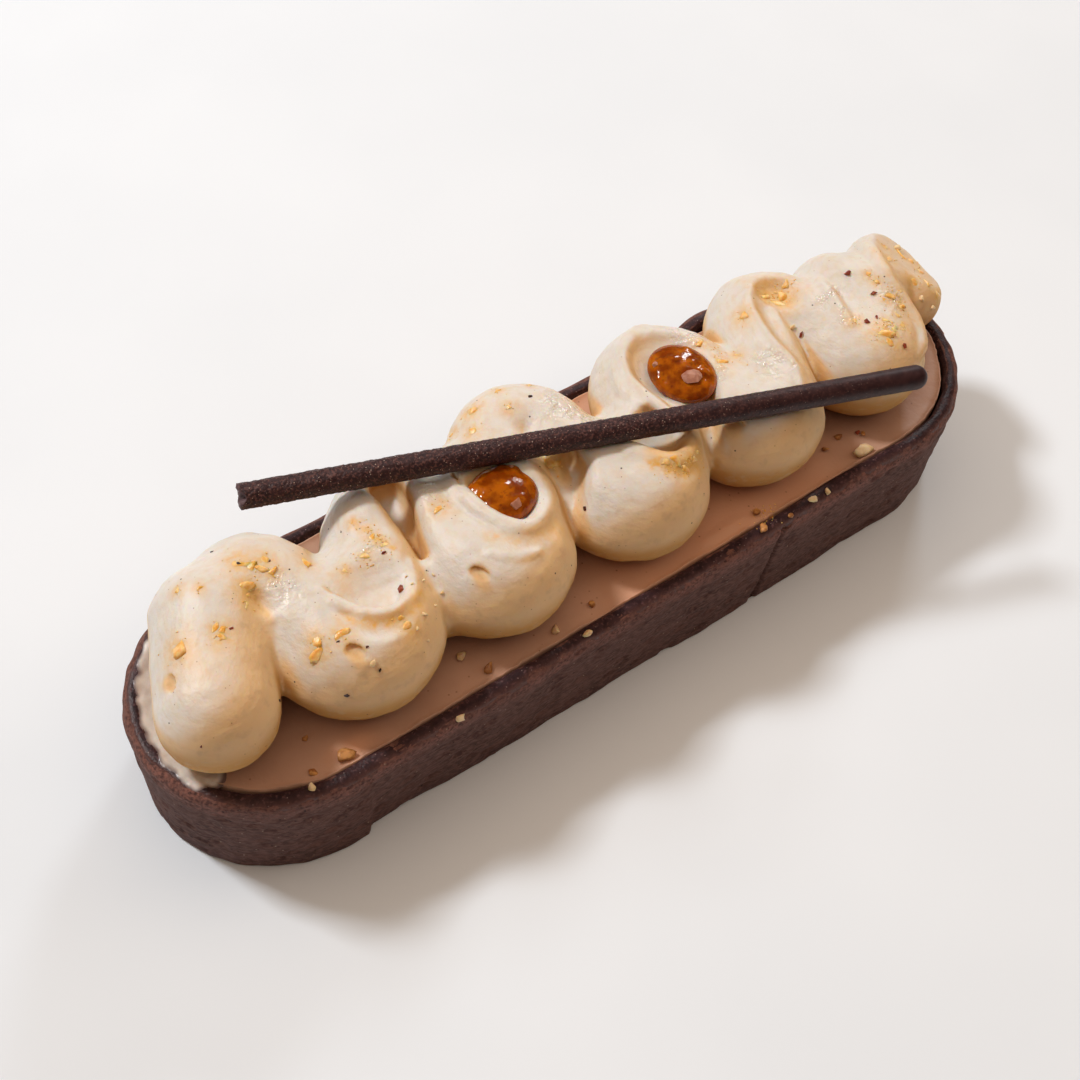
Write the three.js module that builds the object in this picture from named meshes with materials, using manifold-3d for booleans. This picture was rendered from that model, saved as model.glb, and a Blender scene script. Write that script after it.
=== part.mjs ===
// Oblong chocolate tart: pastry shell, set chocolate filling, a thick rope of hazelnut cream piped
// from side to side, two caramel drops in the cream and a thin chocolate stick laid across it.
// Millimetres, +Z up, origin at the centre of the flat underside, X along the length.
import * as THREE from 'three';
import { mergeVertices } from 'three/addons/utils/BufferGeometryUtils.js';
import { ConvexGeometry } from 'three/addons/geometries/ConvexGeometry.js';
import Module from 'manifold-3d';

// Pastry shell
const SHELL_LENGTH = 127;
const SHELL_WIDTH = 35;
const SHELL_HEIGHT = 17.6;
const SHELL_WALL = 2.1;
const SHELL_FLOOR = 2.6;
const END_DEPTH = 19.6;
const BASE_INSET = 0.8;
const END_STEPS = 26;
const SIDE_STEPS = 22;
const RIM_WOBBLE = 0.16;
const RIM_WAVE = { along: 8.3, across: 9 };
const SIDE_WOBBLE = 0.14;
const SIDE_WAVE = { long: 6.1, short: 2.9, shortShare: 0.6 };
const FULL_WOBBLE_FROM = 8;
const RIM_LUMP = { x: 34.2, reach: 3.6, out: 0.55, up: 0.5 };
const BASE_DENT = { from: -42.3, to: 8.5, depth: 0.95 };
const SEAM = { x: 20.2, lean: 0.07, width: 0.8, depth: 0.45 };

// Chocolate filling, and the gap kept between neighbouring pieces
const FILLING_TOP = 16.9;
const GAP = 0.3;

// Piped cream: one thick rope laid from side to side
const CREAM_BASE = FILLING_TOP + GAP;
const ROPE_REST = 0.95;
const ROPE_DETAIL = 3;
const STATION_STEP = 3.4;
const ROPE_START = [
  { x: -54.4, y: -3.8, radius: 7.1 },
  { x: -49.8, y: 5.8, radius: 7.2 },
];
const TURNS = [
  { side: 'far', x: -43.8, y: 5.2, bend: 2.8, radius: 6.6 },
  { side: 'near', x: -35.3, y: -3.3, bend: 3.7, radius: 6.4, ball: 10.4 },
  { side: 'far', x: -24.2, y: 5.4, bend: 3.6, radius: 6.1 },
  { side: 'near', x: -15.8, y: -3.5, bend: 3.6, radius: 6.3, ball: 10.0 },
  { side: 'far', x: -3.8, y: 7.6, bend: 3.6, radius: 6.2 },
  { side: 'near', x: 5.1, y: -3.8, bend: 3.6, radius: 6.3, ball: 10.3 },
  { side: 'far', x: 17.2, y: 5.8, bend: 3.5, radius: 6.1 },
  { side: 'near', x: 25.3, y: -3.2, bend: 3.6, radius: 6.3, ball: 9.8 },
  { side: 'far', x: 36.8, y: 5.4, bend: 3.4, radius: 6.2 },
  { side: 'near', x: 45.3, y: -3.3, bend: 2.7, radius: 6.2, ball: 8.6 },
];
const ROPE_TAIL = [
  { x: 51.2, y: 3.2, radius: 6.4 },
  { x: 57.8, y: 5.4, radius: 5.6 },
  { x: 58.5, y: 1.6, radius: 4.9 },
];
// Cream dragged over a fold, filling the valley between two runs
const FOLDS = [
  { from: { x: -33.8, y: 1.3, radius: 5.2 }, to: { x: -27.3, y: 6.9, radius: 5.1 } },
  { from: { x: -11.4, y: 2.2, radius: 5.2 }, to: { x: -8.4, y: 8.0, radius: 5.4 } },
];
// Every near turn swells into a ball
const BALL_SIDES = 22;
const RINGS_PER_SIDE = 0.6;
const BALL_SHAPE = { up: 7.5, lift: 5.9, shiftX: -0.9, shiftY: 0.1 };
// Round dishes in the middle of some turns, where the cream folded over itself
const DISHES = [
  { x: -33.0, y: -0.8, radius: 6.2, crest: 29.4, depth: 1.8, tilt: 0.38 },
  { x: -12.4, y: 0.2, radius: 5.6, crest: 29.7, depth: 2.6, tilt: 0 },
  { x: 9.4, y: -1.2, radius: 4.9, crest: 29.5, depth: 2.6, tilt: 0 },
  { x: 18.2, y: 4.0, radius: 5.7, crest: 29.5, depth: 2.6, tilt: 0 },
];
const DISH_EDGE = 1.8;
const DISH_BODY = 6.4;
const DISH_LIFT = 1.1;

// Caramel drops: which dish each one lies in, and its size
const CARAMEL_FRONT = { dish: DISHES[1], radius: 4.15 };
const CARAMEL_BACK = { dish: DISHES[3], radius: 4.5 };
const CARAMEL_THICK = 1.3;
const CARAMEL_LIFT = 1.75;
const CARAMEL_SIDES = 18;

// Air bubbles that opened in the skin of the cream
const BUBBLE_RADIUS = 1.25;
const BUBBLE_SIDES = 10;
const BUBBLES = [[-58.4, -1.6, 30.9], [-38.6, -9.2, 29.0], [-21.5, -7.7, 28.6], [18.8, -6.8, 28.5]];

// Larger crumbs of nut and chocolate, as places in plan and widths
const CREAM_CRUMBS = [
  [-55.4, 1.7, 1.7], [-50.8, 0.1, 1.3], [-45.2, 5.0, 1.5], [-41.5, 6.9, 1.7], [-41.9, -4.8, 1.2],
  [-42.4, -6.2, 1.4], [-39.4, -6.1, 1.3], [-28.9, 3.7, 1.4], [-32.3, -9.0, 1.3], [-29.8, -4.1, 1.4],
  [-19.8, 2.8, 1.2], [-10.9, 13.1, 1.2], [-9.7, 10.5, 1.1], [-7.8, 13.7, 1.6], [31.3, 6.5, 1.4],
  [37.2, 8.4, 1.3], [39.4, 7.4, 1.7], [44.5, -3.4, 1.5], [44.7, -6.0, 1.9], [44.9, -7.8, 1.3],
  [48.4, 4.8, 1.5], [48.8, -0.1, 1.3], [61.2, 2.0, 1.3],
];
const FILLING_CRUMBS = [
  [-48.2, -13.2, 1.1], [-44.0, -13.5, 2.3], [-25.3, -10.1, 1.3], [-23.5, -13.5, 1.4], [-13.5, -13.6, 1.2],
  [-7.4, -12.9, 1.3], [19.2, -13.6, 1.5], [36.8, -10.1, 1.2], [38.5, -13.8, 1.9],
];
const RIM_CRUMBS = [
  [-49.3, -15.3, 1.0], [-30.5, -16.9, 1.2], [-10.9, -16.4, 1.3], [17.9, -16.3, 1.5], [26.1, -16.4, 1.2],
  [28.7, -16.5, 1.2],
];
const CRUMB_SHAPE = [1.1, 0.85, 0.75];
const CRUMB_TURN = 1.7;
const CRUMB_SINK = 0.12;

// Chocolate stick lying across the cream
const STICK_RADIUS = 1.6;
const STICK_SIDES = 16;
// Faces of the snapped end: turn in plan, lean, and how far along the stick each one starts
const SNAPS = [[-0.05, 0.5, 0.1], [-0.75, -0.35, -0.2]];
const SNAP_BLOCK = 8;
const STICK_LEFT = { x: -39.5, y: 15.9, z: 31.0 };
const STICK_RIGHT = { x: 41.8, y: -14.9, z: 31.0 };

const wasm = await Module();
wasm.setup();

// Closed body from a three.js shape, and back again
function solidFrom(geometry) {
  const bare = geometry.index ? geometry.toNonIndexed() : geometry.clone();
  bare.deleteAttribute('normal');
  bare.deleteAttribute('uv');
  const merged = mergeVertices(bare, 1e-4);
  return new wasm.Manifold(new wasm.Mesh({
    numProp: 3,
    vertProperties: Float32Array.from(merged.attributes.position.array),
    triVerts: Uint32Array.from(merged.index.array),
  }));
}

function geometryFrom(solid) {
  const mesh = solid.getMesh();
  const geometry = new THREE.BufferGeometry();
  geometry.setAttribute('position', new THREE.BufferAttribute(mesh.vertProperties.slice(), 3));
  geometry.setIndex(new THREE.BufferAttribute(mesh.triVerts.slice(), 1));
  const flat = geometry.toNonIndexed();
  flat.computeVertexNormals();
  return flat;
}

// Oblong outline set in from the shell's outer edge: two straight sides and two rounded ends
function oblong(inset) {
  const half = SHELL_WIDTH / 2 - inset;
  const endDepth = END_DEPTH - inset;
  const straight = SHELL_LENGTH / 2 - END_DEPTH;
  const points = [];
  for (const direction of [1, -1]) {
    for (let i = 0; i <= END_STEPS; i += 1) {
      const angle = -Math.PI / 2 + (Math.PI * i) / END_STEPS;
      points.push(new THREE.Vector2(
        direction * (straight + endDepth * Math.cos(angle)), direction * half * Math.sin(angle),
      ));
    }
    for (let i = 1; i < SIDE_STEPS; i += 1) {
      const x = straight * (1 - (2 * i) / SIDE_STEPS);
      points.push(new THREE.Vector2(direction * x, direction * half));
    }
  }
  return points;
}

// Upright block over an outline, set in a little more at the bottom than at the top
function taperedBlock(inset, bottomZ, topZ, shape = null) {
  const geometry = new THREE.ExtrudeGeometry(new THREE.Shape(oblong(inset)), {
    depth: topZ - bottomZ, bevelEnabled: false, steps: 1,
  });
  geometry.translate(0, 0, bottomZ);
  const position = geometry.attributes.position;
  for (let i = 0; i < position.count; i += 1) {
    const point = new THREE.Vector3().fromBufferAttribute(position, i);
    const share = BASE_INSET * (1 - point.z / SHELL_HEIGHT);
    const scaleX = 1 - (2 * share) / SHELL_LENGTH;
    const scaleY = 1 - (2 * share) / SHELL_WIDTH;
    const moved = new THREE.Vector3(point.x * scaleX, point.y * scaleY, point.z);
    if (shape) shape(moved, point);
    position.setXYZ(i, moved.x, moved.y, moved.z);
  }
  return solidFrom(geometry);
}

// Hand-lined pastry is a little uneven: wavy side, wavy rim, one lump and one dent
function unevenPastry(moved, point) {
  const atTop = point.z > SHELL_HEIGHT / 2;
  const longWave = Math.sin(point.x / SIDE_WAVE.long + Math.sign(point.y));
  const shortWave = Math.sin(point.x / SIDE_WAVE.short + 2 * point.y);
  const outward = Math.sign(point.y) * SIDE_WOBBLE * (longWave + SIDE_WAVE.shortShare * shortWave);
  moved.y += outward * Math.min(1, Math.abs(point.y) / FULL_WOBBLE_FROM);
  if (atTop) moved.z += RIM_WOBBLE * Math.sin(point.x / RIM_WAVE.along + point.y / RIM_WAVE.across);
  const lump = Math.exp(-(((point.x - RIM_LUMP.x) / RIM_LUMP.reach) ** 2));
  if (point.y > SHELL_WIDTH / 4 && atTop) {
    moved.y += RIM_LUMP.out * lump;
    moved.z += RIM_LUMP.up * lump;
  }
  if (!atTop && point.y < -SHELL_WIDTH / 4 && point.x > BASE_DENT.from && point.x < BASE_DENT.to) {
    const along = (BASE_DENT.to - point.x) / (BASE_DENT.to - BASE_DENT.from);
    moved.y += BASE_DENT.depth * along;
  }
}

// Upright line where the ends of the side strip meet
function makeSeam() {
  const geometry = new THREE.BoxGeometry(SEAM.width, 2 * SEAM.depth, SHELL_HEIGHT + 2);
  geometry.rotateX(BASE_INSET / SHELL_HEIGHT);
  geometry.rotateY(-SEAM.lean);
  geometry.translate(SEAM.x, -SHELL_WIDTH / 2 + BASE_INSET / 2, SHELL_HEIGHT / 2);
  return solidFrom(geometry);
}

function makeShell() {
  const outer = taperedBlock(0, 0, SHELL_HEIGHT, unevenPastry);
  const inner = taperedBlock(SHELL_WALL, SHELL_FLOOR, SHELL_HEIGHT + 2);
  return withCrumbs(outer.subtract(inner).subtract(makeSeam()), RIM_CRUMBS);
}

function makeFilling() {
  return withCrumbs(taperedBlock(SHELL_WALL + GAP, SHELL_FLOOR + GAP, FILLING_TOP), FILLING_CRUMBS);
}

const turnSign = (turn) => (turn.side === 'far' ? -1 : 1);

// Angle on one of two neighbouring turns where their crossing tangent touches it
function tangentAngle(a, b, onFirst) {
  const dx = b.x - a.x;
  const dy = b.y - a.y;
  const along = Math.atan2(dy, dx);
  const lean = Math.acos(Math.min(1, (a.bend + b.bend) / Math.hypot(dx, dy)));
  return (onFirst ? along : along + Math.PI) - turnSign(a) * lean;
}

// Angle on a turn where the straight run from the rope's start or to its tail touches it
function endAngle(point, turn, leaving) {
  const dx = point.x - turn.x;
  const dy = point.y - turn.y;
  const lean = Math.acos(Math.min(1, turn.bend / Math.hypot(dx, dy)));
  return Math.atan2(dy, dx) + (leaving ? -1 : 1) * turnSign(turn) * lean;
}

// Centre line of the rope: half turns joined by straight runs
function ropeStations() {
  const stations = [...ROPE_START];
  for (let i = 0; i < TURNS.length; i += 1) {
    const turn = TURNS[i];
    const sign = turnSign(turn);
    const before = TURNS[i - 1];
    const after = TURNS[i + 1];
    const from = before ? tangentAngle(before, turn, false) : endAngle(ROPE_START.at(-1), turn, false);
    let to = after ? tangentAngle(turn, after, true) : endAngle(ROPE_TAIL[0], turn, true);
    while (sign * (to - from) < 0) to += sign * 2 * Math.PI;
    while (sign * (to - from) > 2 * Math.PI) to -= sign * 2 * Math.PI;
    const steps = Math.max(2, Math.round((Math.abs(to - from) * turn.bend) / STATION_STEP));
    for (let k = 0; k <= steps; k += 1) {
      const angle = from + ((to - from) * k) / steps;
      stations.push({
        x: turn.x + turn.bend * Math.cos(angle),
        y: turn.y + turn.bend * Math.sin(angle),
        radius: turn.radius,
      });
    }
  }
  return [...stations, ...ROPE_TAIL];
}

// Rounded run of cream between two places on the centre line
function ropeRun(from, to) {
  const points = [];
  for (const place of [from, to]) {
    const ball = new THREE.IcosahedronGeometry(place.radius, ROPE_DETAIL);
    ball.translate(place.x, place.y, CREAM_BASE + place.radius * ROPE_REST);
    const position = ball.attributes.position;
    for (let i = 0; i < position.count; i += 1) {
      points.push(new THREE.Vector3().fromBufferAttribute(position, i));
    }
  }
  return solidFrom(new ConvexGeometry(points));
}

// Egg shape; a tilt lifts its far side
function ellipsoid(x, y, z, across, deep, up, tilt = 0, sides = BALL_SIDES) {
  const geometry = new THREE.SphereGeometry(1, sides, Math.round(RINGS_PER_SIDE * sides));
  geometry.rotateX(Math.PI / 2);
  geometry.scale(across, deep, up);
  geometry.rotateX(tilt);
  geometry.translate(x, y, z);
  return solidFrom(geometry);
}

// Round stick between its two ends, or the room around it
function stickSolid(radius, longer) {
  const left = new THREE.Vector3(STICK_LEFT.x, STICK_LEFT.y, STICK_LEFT.z);
  const right = new THREE.Vector3(STICK_RIGHT.x, STICK_RIGHT.y, STICK_RIGHT.z);
  const along = right.clone().sub(left);
  const geometry = new THREE.CylinderGeometry(radius, radius, along.length() + 2 * longer, STICK_SIDES);
  geometry.applyQuaternion(new THREE.Quaternion().setFromUnitVectors(
    new THREE.Vector3(0, 1, 0), along.clone().normalize(),
  ));
  const middle = left.add(right).multiplyScalar(0.5);
  geometry.translate(middle.x, middle.y, middle.z);
  return solidFrom(geometry);
}

// Crumbs stuck to a piece, each dropped on to its surface from above and turned its own way
function withCrumbs(solid, crumbs) {
  const surface = new THREE.Mesh(geometryFrom(solid), new THREE.MeshStandardMaterial());
  const down = new THREE.Vector3(0, 0, -1);
  const bits = crumbs.map(([x, y, width], i) => {
    const [hit] = new THREE.Raycaster(new THREE.Vector3(x, y, 100), down).intersectObject(surface);
    const crumb = new THREE.IcosahedronGeometry(width / 2, 0);
    crumb.scale(...CRUMB_SHAPE);
    crumb.rotateZ(CRUMB_TURN * i);
    crumb.translate(x, y, hit.point.z + CRUMB_SINK * width);
    return solidFrom(crumb);
  });
  return wasm.Manifold.union([solid, ...bits]);
}

// Stick with a rounded right end and a snapped left end
function makeStick() {
  const tip = new THREE.SphereGeometry(STICK_RADIUS, STICK_SIDES, STICK_SIDES / 2);
  tip.translate(STICK_RIGHT.x, STICK_RIGHT.y, STICK_RIGHT.z);
  let stick = stickSolid(STICK_RADIUS, 0).add(solidFrom(tip));
  for (const [turn, lean, back] of SNAPS) {
    const cut = new THREE.BoxGeometry(SNAP_BLOCK, SNAP_BLOCK, SNAP_BLOCK);
    cut.translate(-SNAP_BLOCK / 2 + back, 0, 0);
    cut.rotateY(lean);
    cut.rotateZ(turn);
    cut.translate(STICK_LEFT.x, STICK_LEFT.y, STICK_LEFT.z);
    stick = stick.subtract(solidFrom(cut));
  }
  return stick;
}

// Everything the cream has to stay clear of: filling, rim and stick
function creamLimits() {
  const overRim = SHELL_HEIGHT + RIM_WOBBLE + GAP;
  const under = new THREE.BoxGeometry(2 * SHELL_LENGTH, 4 * SHELL_WIDTH, CREAM_BASE);
  under.translate(0, 0, CREAM_BASE / 2);
  const outside = new THREE.BoxGeometry(2 * SHELL_LENGTH, 4 * SHELL_WIDTH, overRim);
  outside.translate(0, 0, overRim / 2);
  const rim = solidFrom(outside).subtract(taperedBlock(SHELL_WALL + GAP, -1, overRim + 1));
  return [solidFrom(under), rim, stickSolid(STICK_RADIUS + GAP, GAP)];
}

function makeCream() {
  const stations = ropeStations();
  const pieces = stations.slice(1).map((place, i) => ropeRun(stations[i], place));
  pieces.push(...FOLDS.map(({ from, to }) => ropeRun(from, to)));
  for (const turn of TURNS.filter((each) => each.side === 'near')) {
    pieces.push(ellipsoid(
      turn.x + BALL_SHAPE.shiftX, turn.y + BALL_SHAPE.shiftY, FILLING_TOP + BALL_SHAPE.lift,
      turn.ball, turn.ball, BALL_SHAPE.up,
    ));
  }
  for (const { x, y, radius, crest } of DISHES) {
    pieces.push(ellipsoid(x, y, crest - DISH_BODY, radius + DISH_EDGE, radius + DISH_EDGE, DISH_BODY));
  }
  let cream = wasm.Manifold.union(pieces);
  for (const { x, y, radius, crest, depth, tilt } of DISHES) {
    cream = cream.subtract(ellipsoid(x, y, crest + DISH_LIFT, radius, radius, depth + DISH_LIFT, tilt));
  }
  for (const [x, y, z] of BUBBLES) {
    const bubble = ellipsoid(x, y, z, BUBBLE_RADIUS, BUBBLE_RADIUS, BUBBLE_RADIUS, 0, BUBBLE_SIDES);
    cream = cream.subtract(bubble);
  }
  for (const limit of creamLimits()) cream = cream.subtract(limit);
  return withCrumbs(cream, CREAM_CRUMBS);
}

function makeCaramel({ dish, radius }) {
  const z = dish.crest - dish.depth + CARAMEL_LIFT;
  return ellipsoid(dish.x, dish.y, z, radius, radius, CARAMEL_THICK, 0, CARAMEL_SIDES)
    .subtract(stickSolid(STICK_RADIUS + GAP, GAP));
}

const parts = [
  ['pastry_shell', makeShell(), 0x3a2420, 0.9],
  ['chocolate_filling', makeFilling(), 0x8c5a42, 0.55],
  ['piped_cream', makeCream(), 0xe2d0b8, 0.45],
  ['caramel_front', makeCaramel(CARAMEL_FRONT), 0xa85a14, 0.12],
  ['caramel_back', makeCaramel(CARAMEL_BACK), 0xa85a14, 0.12],
  ['chocolate_stick', makeStick(), 0x2c1a1c, 0.6],
];

const tart = new THREE.Group();
tart.name = 'hazelnut_chocolate_tart';
for (const [name, solid, color, roughness] of parts) {
  const material = new THREE.MeshStandardMaterial({ color, roughness, metalness: 0 });
  const mesh = new THREE.Mesh(geometryFrom(solid), material);
  mesh.name = name;
  tart.add(mesh);
}

export default tart;
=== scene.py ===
import math

import bmesh
import bpy
import numpy as np
from mathutils import Matrix, Vector, noise
from mathutils.bvhtree import BVHTree


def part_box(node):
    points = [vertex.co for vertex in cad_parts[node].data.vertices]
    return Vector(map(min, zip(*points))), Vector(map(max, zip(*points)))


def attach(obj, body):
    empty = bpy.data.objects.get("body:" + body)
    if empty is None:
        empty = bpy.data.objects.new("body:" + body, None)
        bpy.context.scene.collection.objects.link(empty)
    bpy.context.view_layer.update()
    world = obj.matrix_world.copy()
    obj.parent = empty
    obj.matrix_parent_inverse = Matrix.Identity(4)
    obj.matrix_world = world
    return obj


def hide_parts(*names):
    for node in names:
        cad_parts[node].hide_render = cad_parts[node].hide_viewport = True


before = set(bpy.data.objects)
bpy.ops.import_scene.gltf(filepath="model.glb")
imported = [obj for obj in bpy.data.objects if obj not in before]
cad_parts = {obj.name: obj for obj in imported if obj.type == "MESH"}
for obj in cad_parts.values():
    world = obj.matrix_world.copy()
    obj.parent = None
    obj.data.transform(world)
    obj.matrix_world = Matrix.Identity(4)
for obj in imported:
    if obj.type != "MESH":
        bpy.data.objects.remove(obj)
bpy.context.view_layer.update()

mm = 0.001

# Camera: stands in front of the tart's left half, looking down on it, turned a little on its own axis.
CAMERA_AZIMUTH = -41.3135
CAMERA_ELEVATION = 54.697
CAMERA_ROLL = 6.3089
CAMERA_DISTANCE = 225.9
CAMERA_ASIDE = -3.76
CAMERA_ABOVE = 5.68
FRAME_PIXELS = 1080
FOCAL_PIXELS = 1634.9
SENSOR_WIDTH = 36.0


def camera_axes():
    """The camera's right, up and backward directions."""
    turn, rise, roll = (math.radians(a) for a in (CAMERA_AZIMUTH, CAMERA_ELEVATION, CAMERA_ROLL))
    back = Vector((math.sin(turn) * math.cos(rise), -math.cos(turn) * math.cos(rise), math.sin(rise)))
    level = Vector((math.cos(turn), math.sin(turn), 0))
    upright = back.cross(level)
    right = math.cos(roll) * level + math.sin(roll) * upright
    up = math.cos(roll) * upright - math.sin(roll) * level
    return right, up, back


camera_right, camera_up, camera_back = camera_axes()
camera_place = camera_back * CAMERA_DISTANCE + camera_right * CAMERA_ASIDE + camera_up * CAMERA_ABOVE
camera = bpy.data.objects.new("camera", bpy.data.cameras.new("camera"))
camera.data.sensor_width = SENSOR_WIDTH
camera.data.lens = SENSOR_WIDTH * FOCAL_PIXELS / FRAME_PIXELS
camera.data.clip_start = 10 * mm
camera.data.clip_end = 10000 * mm
camera.matrix_world = Matrix((camera_right, camera_up, camera_back)).transposed().to_4x4()
camera.location = camera_place * mm
bpy.context.scene.collection.objects.link(camera)
bpy.context.scene.camera = camera


# Pastry shell: one strip of cocoa shortcrust baked in an oblong ring round a thin base, its rim and
# outer edge rasped smooth after baking. The ends of the strip meet in an upright seam.
SHELL_LENGTH = 127.0
SHELL_WIDTH = 35.0
SHELL_HEIGHT = 17.6
SHELL_WALL = 2.1
SHELL_FLOOR = 2.6
END_DEPTH = 19.6
BASE_INSET = 0.8
SHOULDER_DEEP = 1.15
SHOULDER_HIGH = 1.7
COLUMN_STEP = 0.42
ROW_STEP = 0.42
STRAIGHT = SHELL_LENGTH / 2 - END_DEPTH
SHOULDER_STEPS = 8
RIM_FLAT = (1.45, 1.75, 1.95)
WALL_FROM = 0.4
INNER_HEIGHTS = (SHELL_HEIGHT - 0.15, 12.0, SHELL_FLOOR)
# Rings at the underside's edge: how far set in, height, and how much each faces outward and upward
UNDERSIDE = [(0.5, 0.0, 0, -1), (0.12, 0.12, 0.7, -0.7)]
# The hand-lined pastry's waves, and the lump, dent, seam and chip that the photo shows
RIM_WOBBLE = 0.16
RIM_WAVE = (8.3, 9.0)
WAVE_HEIGHTS = (0.3 * SHELL_HEIGHT, 0.8 * SHELL_HEIGHT)
SIDE_WOBBLE = 0.14
SIDE_WAVE = 6.1
SIDE_RIPPLE = 2.9
RIPPLE_SHARE = 0.6
RIM_LUMP = {"x": 34.2, "reach": 3.6, "out": 0.55, "up": 0.5}
BASE_DENT = {"from": -42.3, "begins": (-43.1, -41.9), "to": 8.5, "depth": 0.95}
SEAM = {"x": 20.2, "lean": 0.07, "half": 0.32, "flare": 1.5, "flare_below": 6, "depth": 0.75}
SEAM_CHIP = {"x": 21.3, "half": 0.9, "depth": 0.7, "grain": 0.8}
SEAM_CROWD = 2.2
SEAM_COLUMNS = 37
# Layers of lumps are each a size, a depth and an offset
PASTRY_LUMPS = [(2.4, 0.13, 0.0), (1.1, 0.104, 7.0)]
PASTRY_LEVEL = (1.7, 1.7, 0.8)
PASTRY_PIT = 0.3
PIT_SPACING = 2.3
PIT_REACH = (0.34, 0.16)
WORN_RIM = 0.5
# How far up or out a ring has to face to be grainy, worn, grooved by the seam or chipped
GRAINY_UP = -0.9
WORN_UP = 0.5
GROOVED_OUT = 0.1
CHIPPED_UP = 0.3
RASPED_FROM = 13.8
RASPED_TO = 15.6
DARK_DOUGH = (0.072, 0.031, 0.026)
BROWN_DOUGH = (0.112, 0.049, 0.040)
PALE_DOUGH = (0.165, 0.080, 0.064)
RASPED_DOUGH = (0.25, 0.105, 0.080)
PALE_CRUMB = (0.42, 0.30, 0.22)
DARK_PORE = (0.022, 0.010, 0.009)


def outline_columns(step, crowd_at=None):
    """Places along the oblong, one for each column of a mesh: side, end, side, end."""
    side = plain = np.arange(0, 1, step / (2 * STRAIGHT))
    if crowd_at is not None:
        crowd = crowd_at + STRAIGHT + np.linspace(-SEAM_CROWD, SEAM_CROWD, SEAM_COLUMNS)
        side = np.unique(np.concatenate([side, crowd / (2 * STRAIGHT)]))
    end = np.arange(0, 1, step / (math.pi * SHELL_WIDTH / 2))
    parts = [(0, side), (1, end), (2, plain), (3, end)]
    return np.concatenate([np.column_stack([np.full(len(s), k), s]) for k, s in parts])


def oblong(columns, inset):
    """Points of the outline set in by inset, with the outward direction at each."""
    half, deep = SHELL_WIDTH / 2 - inset, END_DEPTH - inset
    part, s = columns.T
    angle = np.where(part < 2, -math.pi / 2, math.pi / 2) + math.pi * s
    x = np.select([part == 0, part == 1, part == 2],
                  [STRAIGHT * (2 * s - 1), STRAIGHT + deep * np.cos(angle), STRAIGHT * (1 - 2 * s)],
                  -STRAIGHT + deep * np.cos(angle))
    y = np.select([part == 0, part == 2], [-half + 0 * s, half + 0 * s], half * np.sin(angle))
    out_x = np.where((part == 0) | (part == 2), 0, np.cos(angle) / deep)
    out_y = np.select([part == 0, part == 2], [-1, 1], np.sin(angle) / half)
    size = np.hypot(out_x, out_y)
    return x, y, out_x / size, out_y / size


def level_ring(columns, inset, z):
    """Points set in from the tapered shell's outline at a height, and the level way out at each."""
    x, y, out_x, out_y = oblong(columns, inset + BASE_INSET * (1 - z / SHELL_HEIGHT))
    return np.column_stack([x, y, np.full(len(x), z)]), np.column_stack([out_x, out_y])


def lumps(points, size, offset=0.0):
    """Smooth random height at each point; size is how far apart its bumps are, one or three numbers."""
    spots = points / np.broadcast_to(size, 3) + offset
    return np.array([noise.noise(Vector(p)) for p in spots])


def relief(points, layers):
    """Layers of lumps laid on each other."""
    return sum(depth * lumps(points, size, offset) for size, depth, offset in layers)


def pits(points, size, offset=0.0):
    """How near each point is to one of many scattered spots, in units of their spacing."""
    spots = points / np.broadcast_to(size, 3) + offset
    return np.array([noise.voronoi(Vector(p))[0][0] for p in spots])


def smooth_step(value, low, high):
    t = np.clip((value - low) / (high - low), 0, 1)
    return t * t * (3 - 2 * t)


def uneven_shell(points):
    """How the hand-lined pastry's waves, its lump and its dent shift points of the shell."""
    x, y, z = points.T
    side = np.sign(y)
    top = smooth_step(z, *WAVE_HEIGHTS)
    wave = np.sin(x / SIDE_WAVE + side) + RIPPLE_SHARE * np.sin(x / SIDE_RIPPLE + 2 * y)
    shift = np.zeros_like(points)
    shift[:, 1] += side * SIDE_WOBBLE * wave * np.minimum(1, np.abs(y) / 8)
    shift[:, 2] += RIM_WOBBLE * np.sin(x / RIM_WAVE[0] + y / RIM_WAVE[1]) * top
    lump = np.exp(-(((x - RIM_LUMP["x"]) / RIM_LUMP["reach"]) ** 2)) * (y > SHELL_WIDTH / 4) * top
    shift[:, 1] += RIM_LUMP["out"] * lump
    shift[:, 2] += RIM_LUMP["up"] * lump
    along = np.clip((BASE_DENT["to"] - x) / (BASE_DENT["to"] - BASE_DENT["from"]), 0, 1)
    step = smooth_step(x, *BASE_DENT["begins"])
    shift[:, 1] += BASE_DENT["depth"] * along * step * (y < -SHELL_WIDTH / 4) * (1 - z / SHELL_HEIGHT)
    return shift


def lathe_mesh(rings, closed, caps):
    """One mesh from rings of points; closed joins the last ring to the first, and caps fills both."""
    rows, count = len(rings), len(rings[0])
    grid = np.arange(rows * count).reshape(rows, count)
    if closed:
        grid = np.vstack([grid, grid[:1]])
    here, right = grid, np.roll(grid, -1, axis=1)
    quads = np.stack([here[:-1], right[:-1], right[1:], here[1:]], -1).reshape(-1, 4)
    faces = quads.tolist()
    if caps:
        faces.append(grid[0][::-1].tolist())
        faces.append(grid[-1].tolist())
    return np.concatenate(rings), faces


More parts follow.
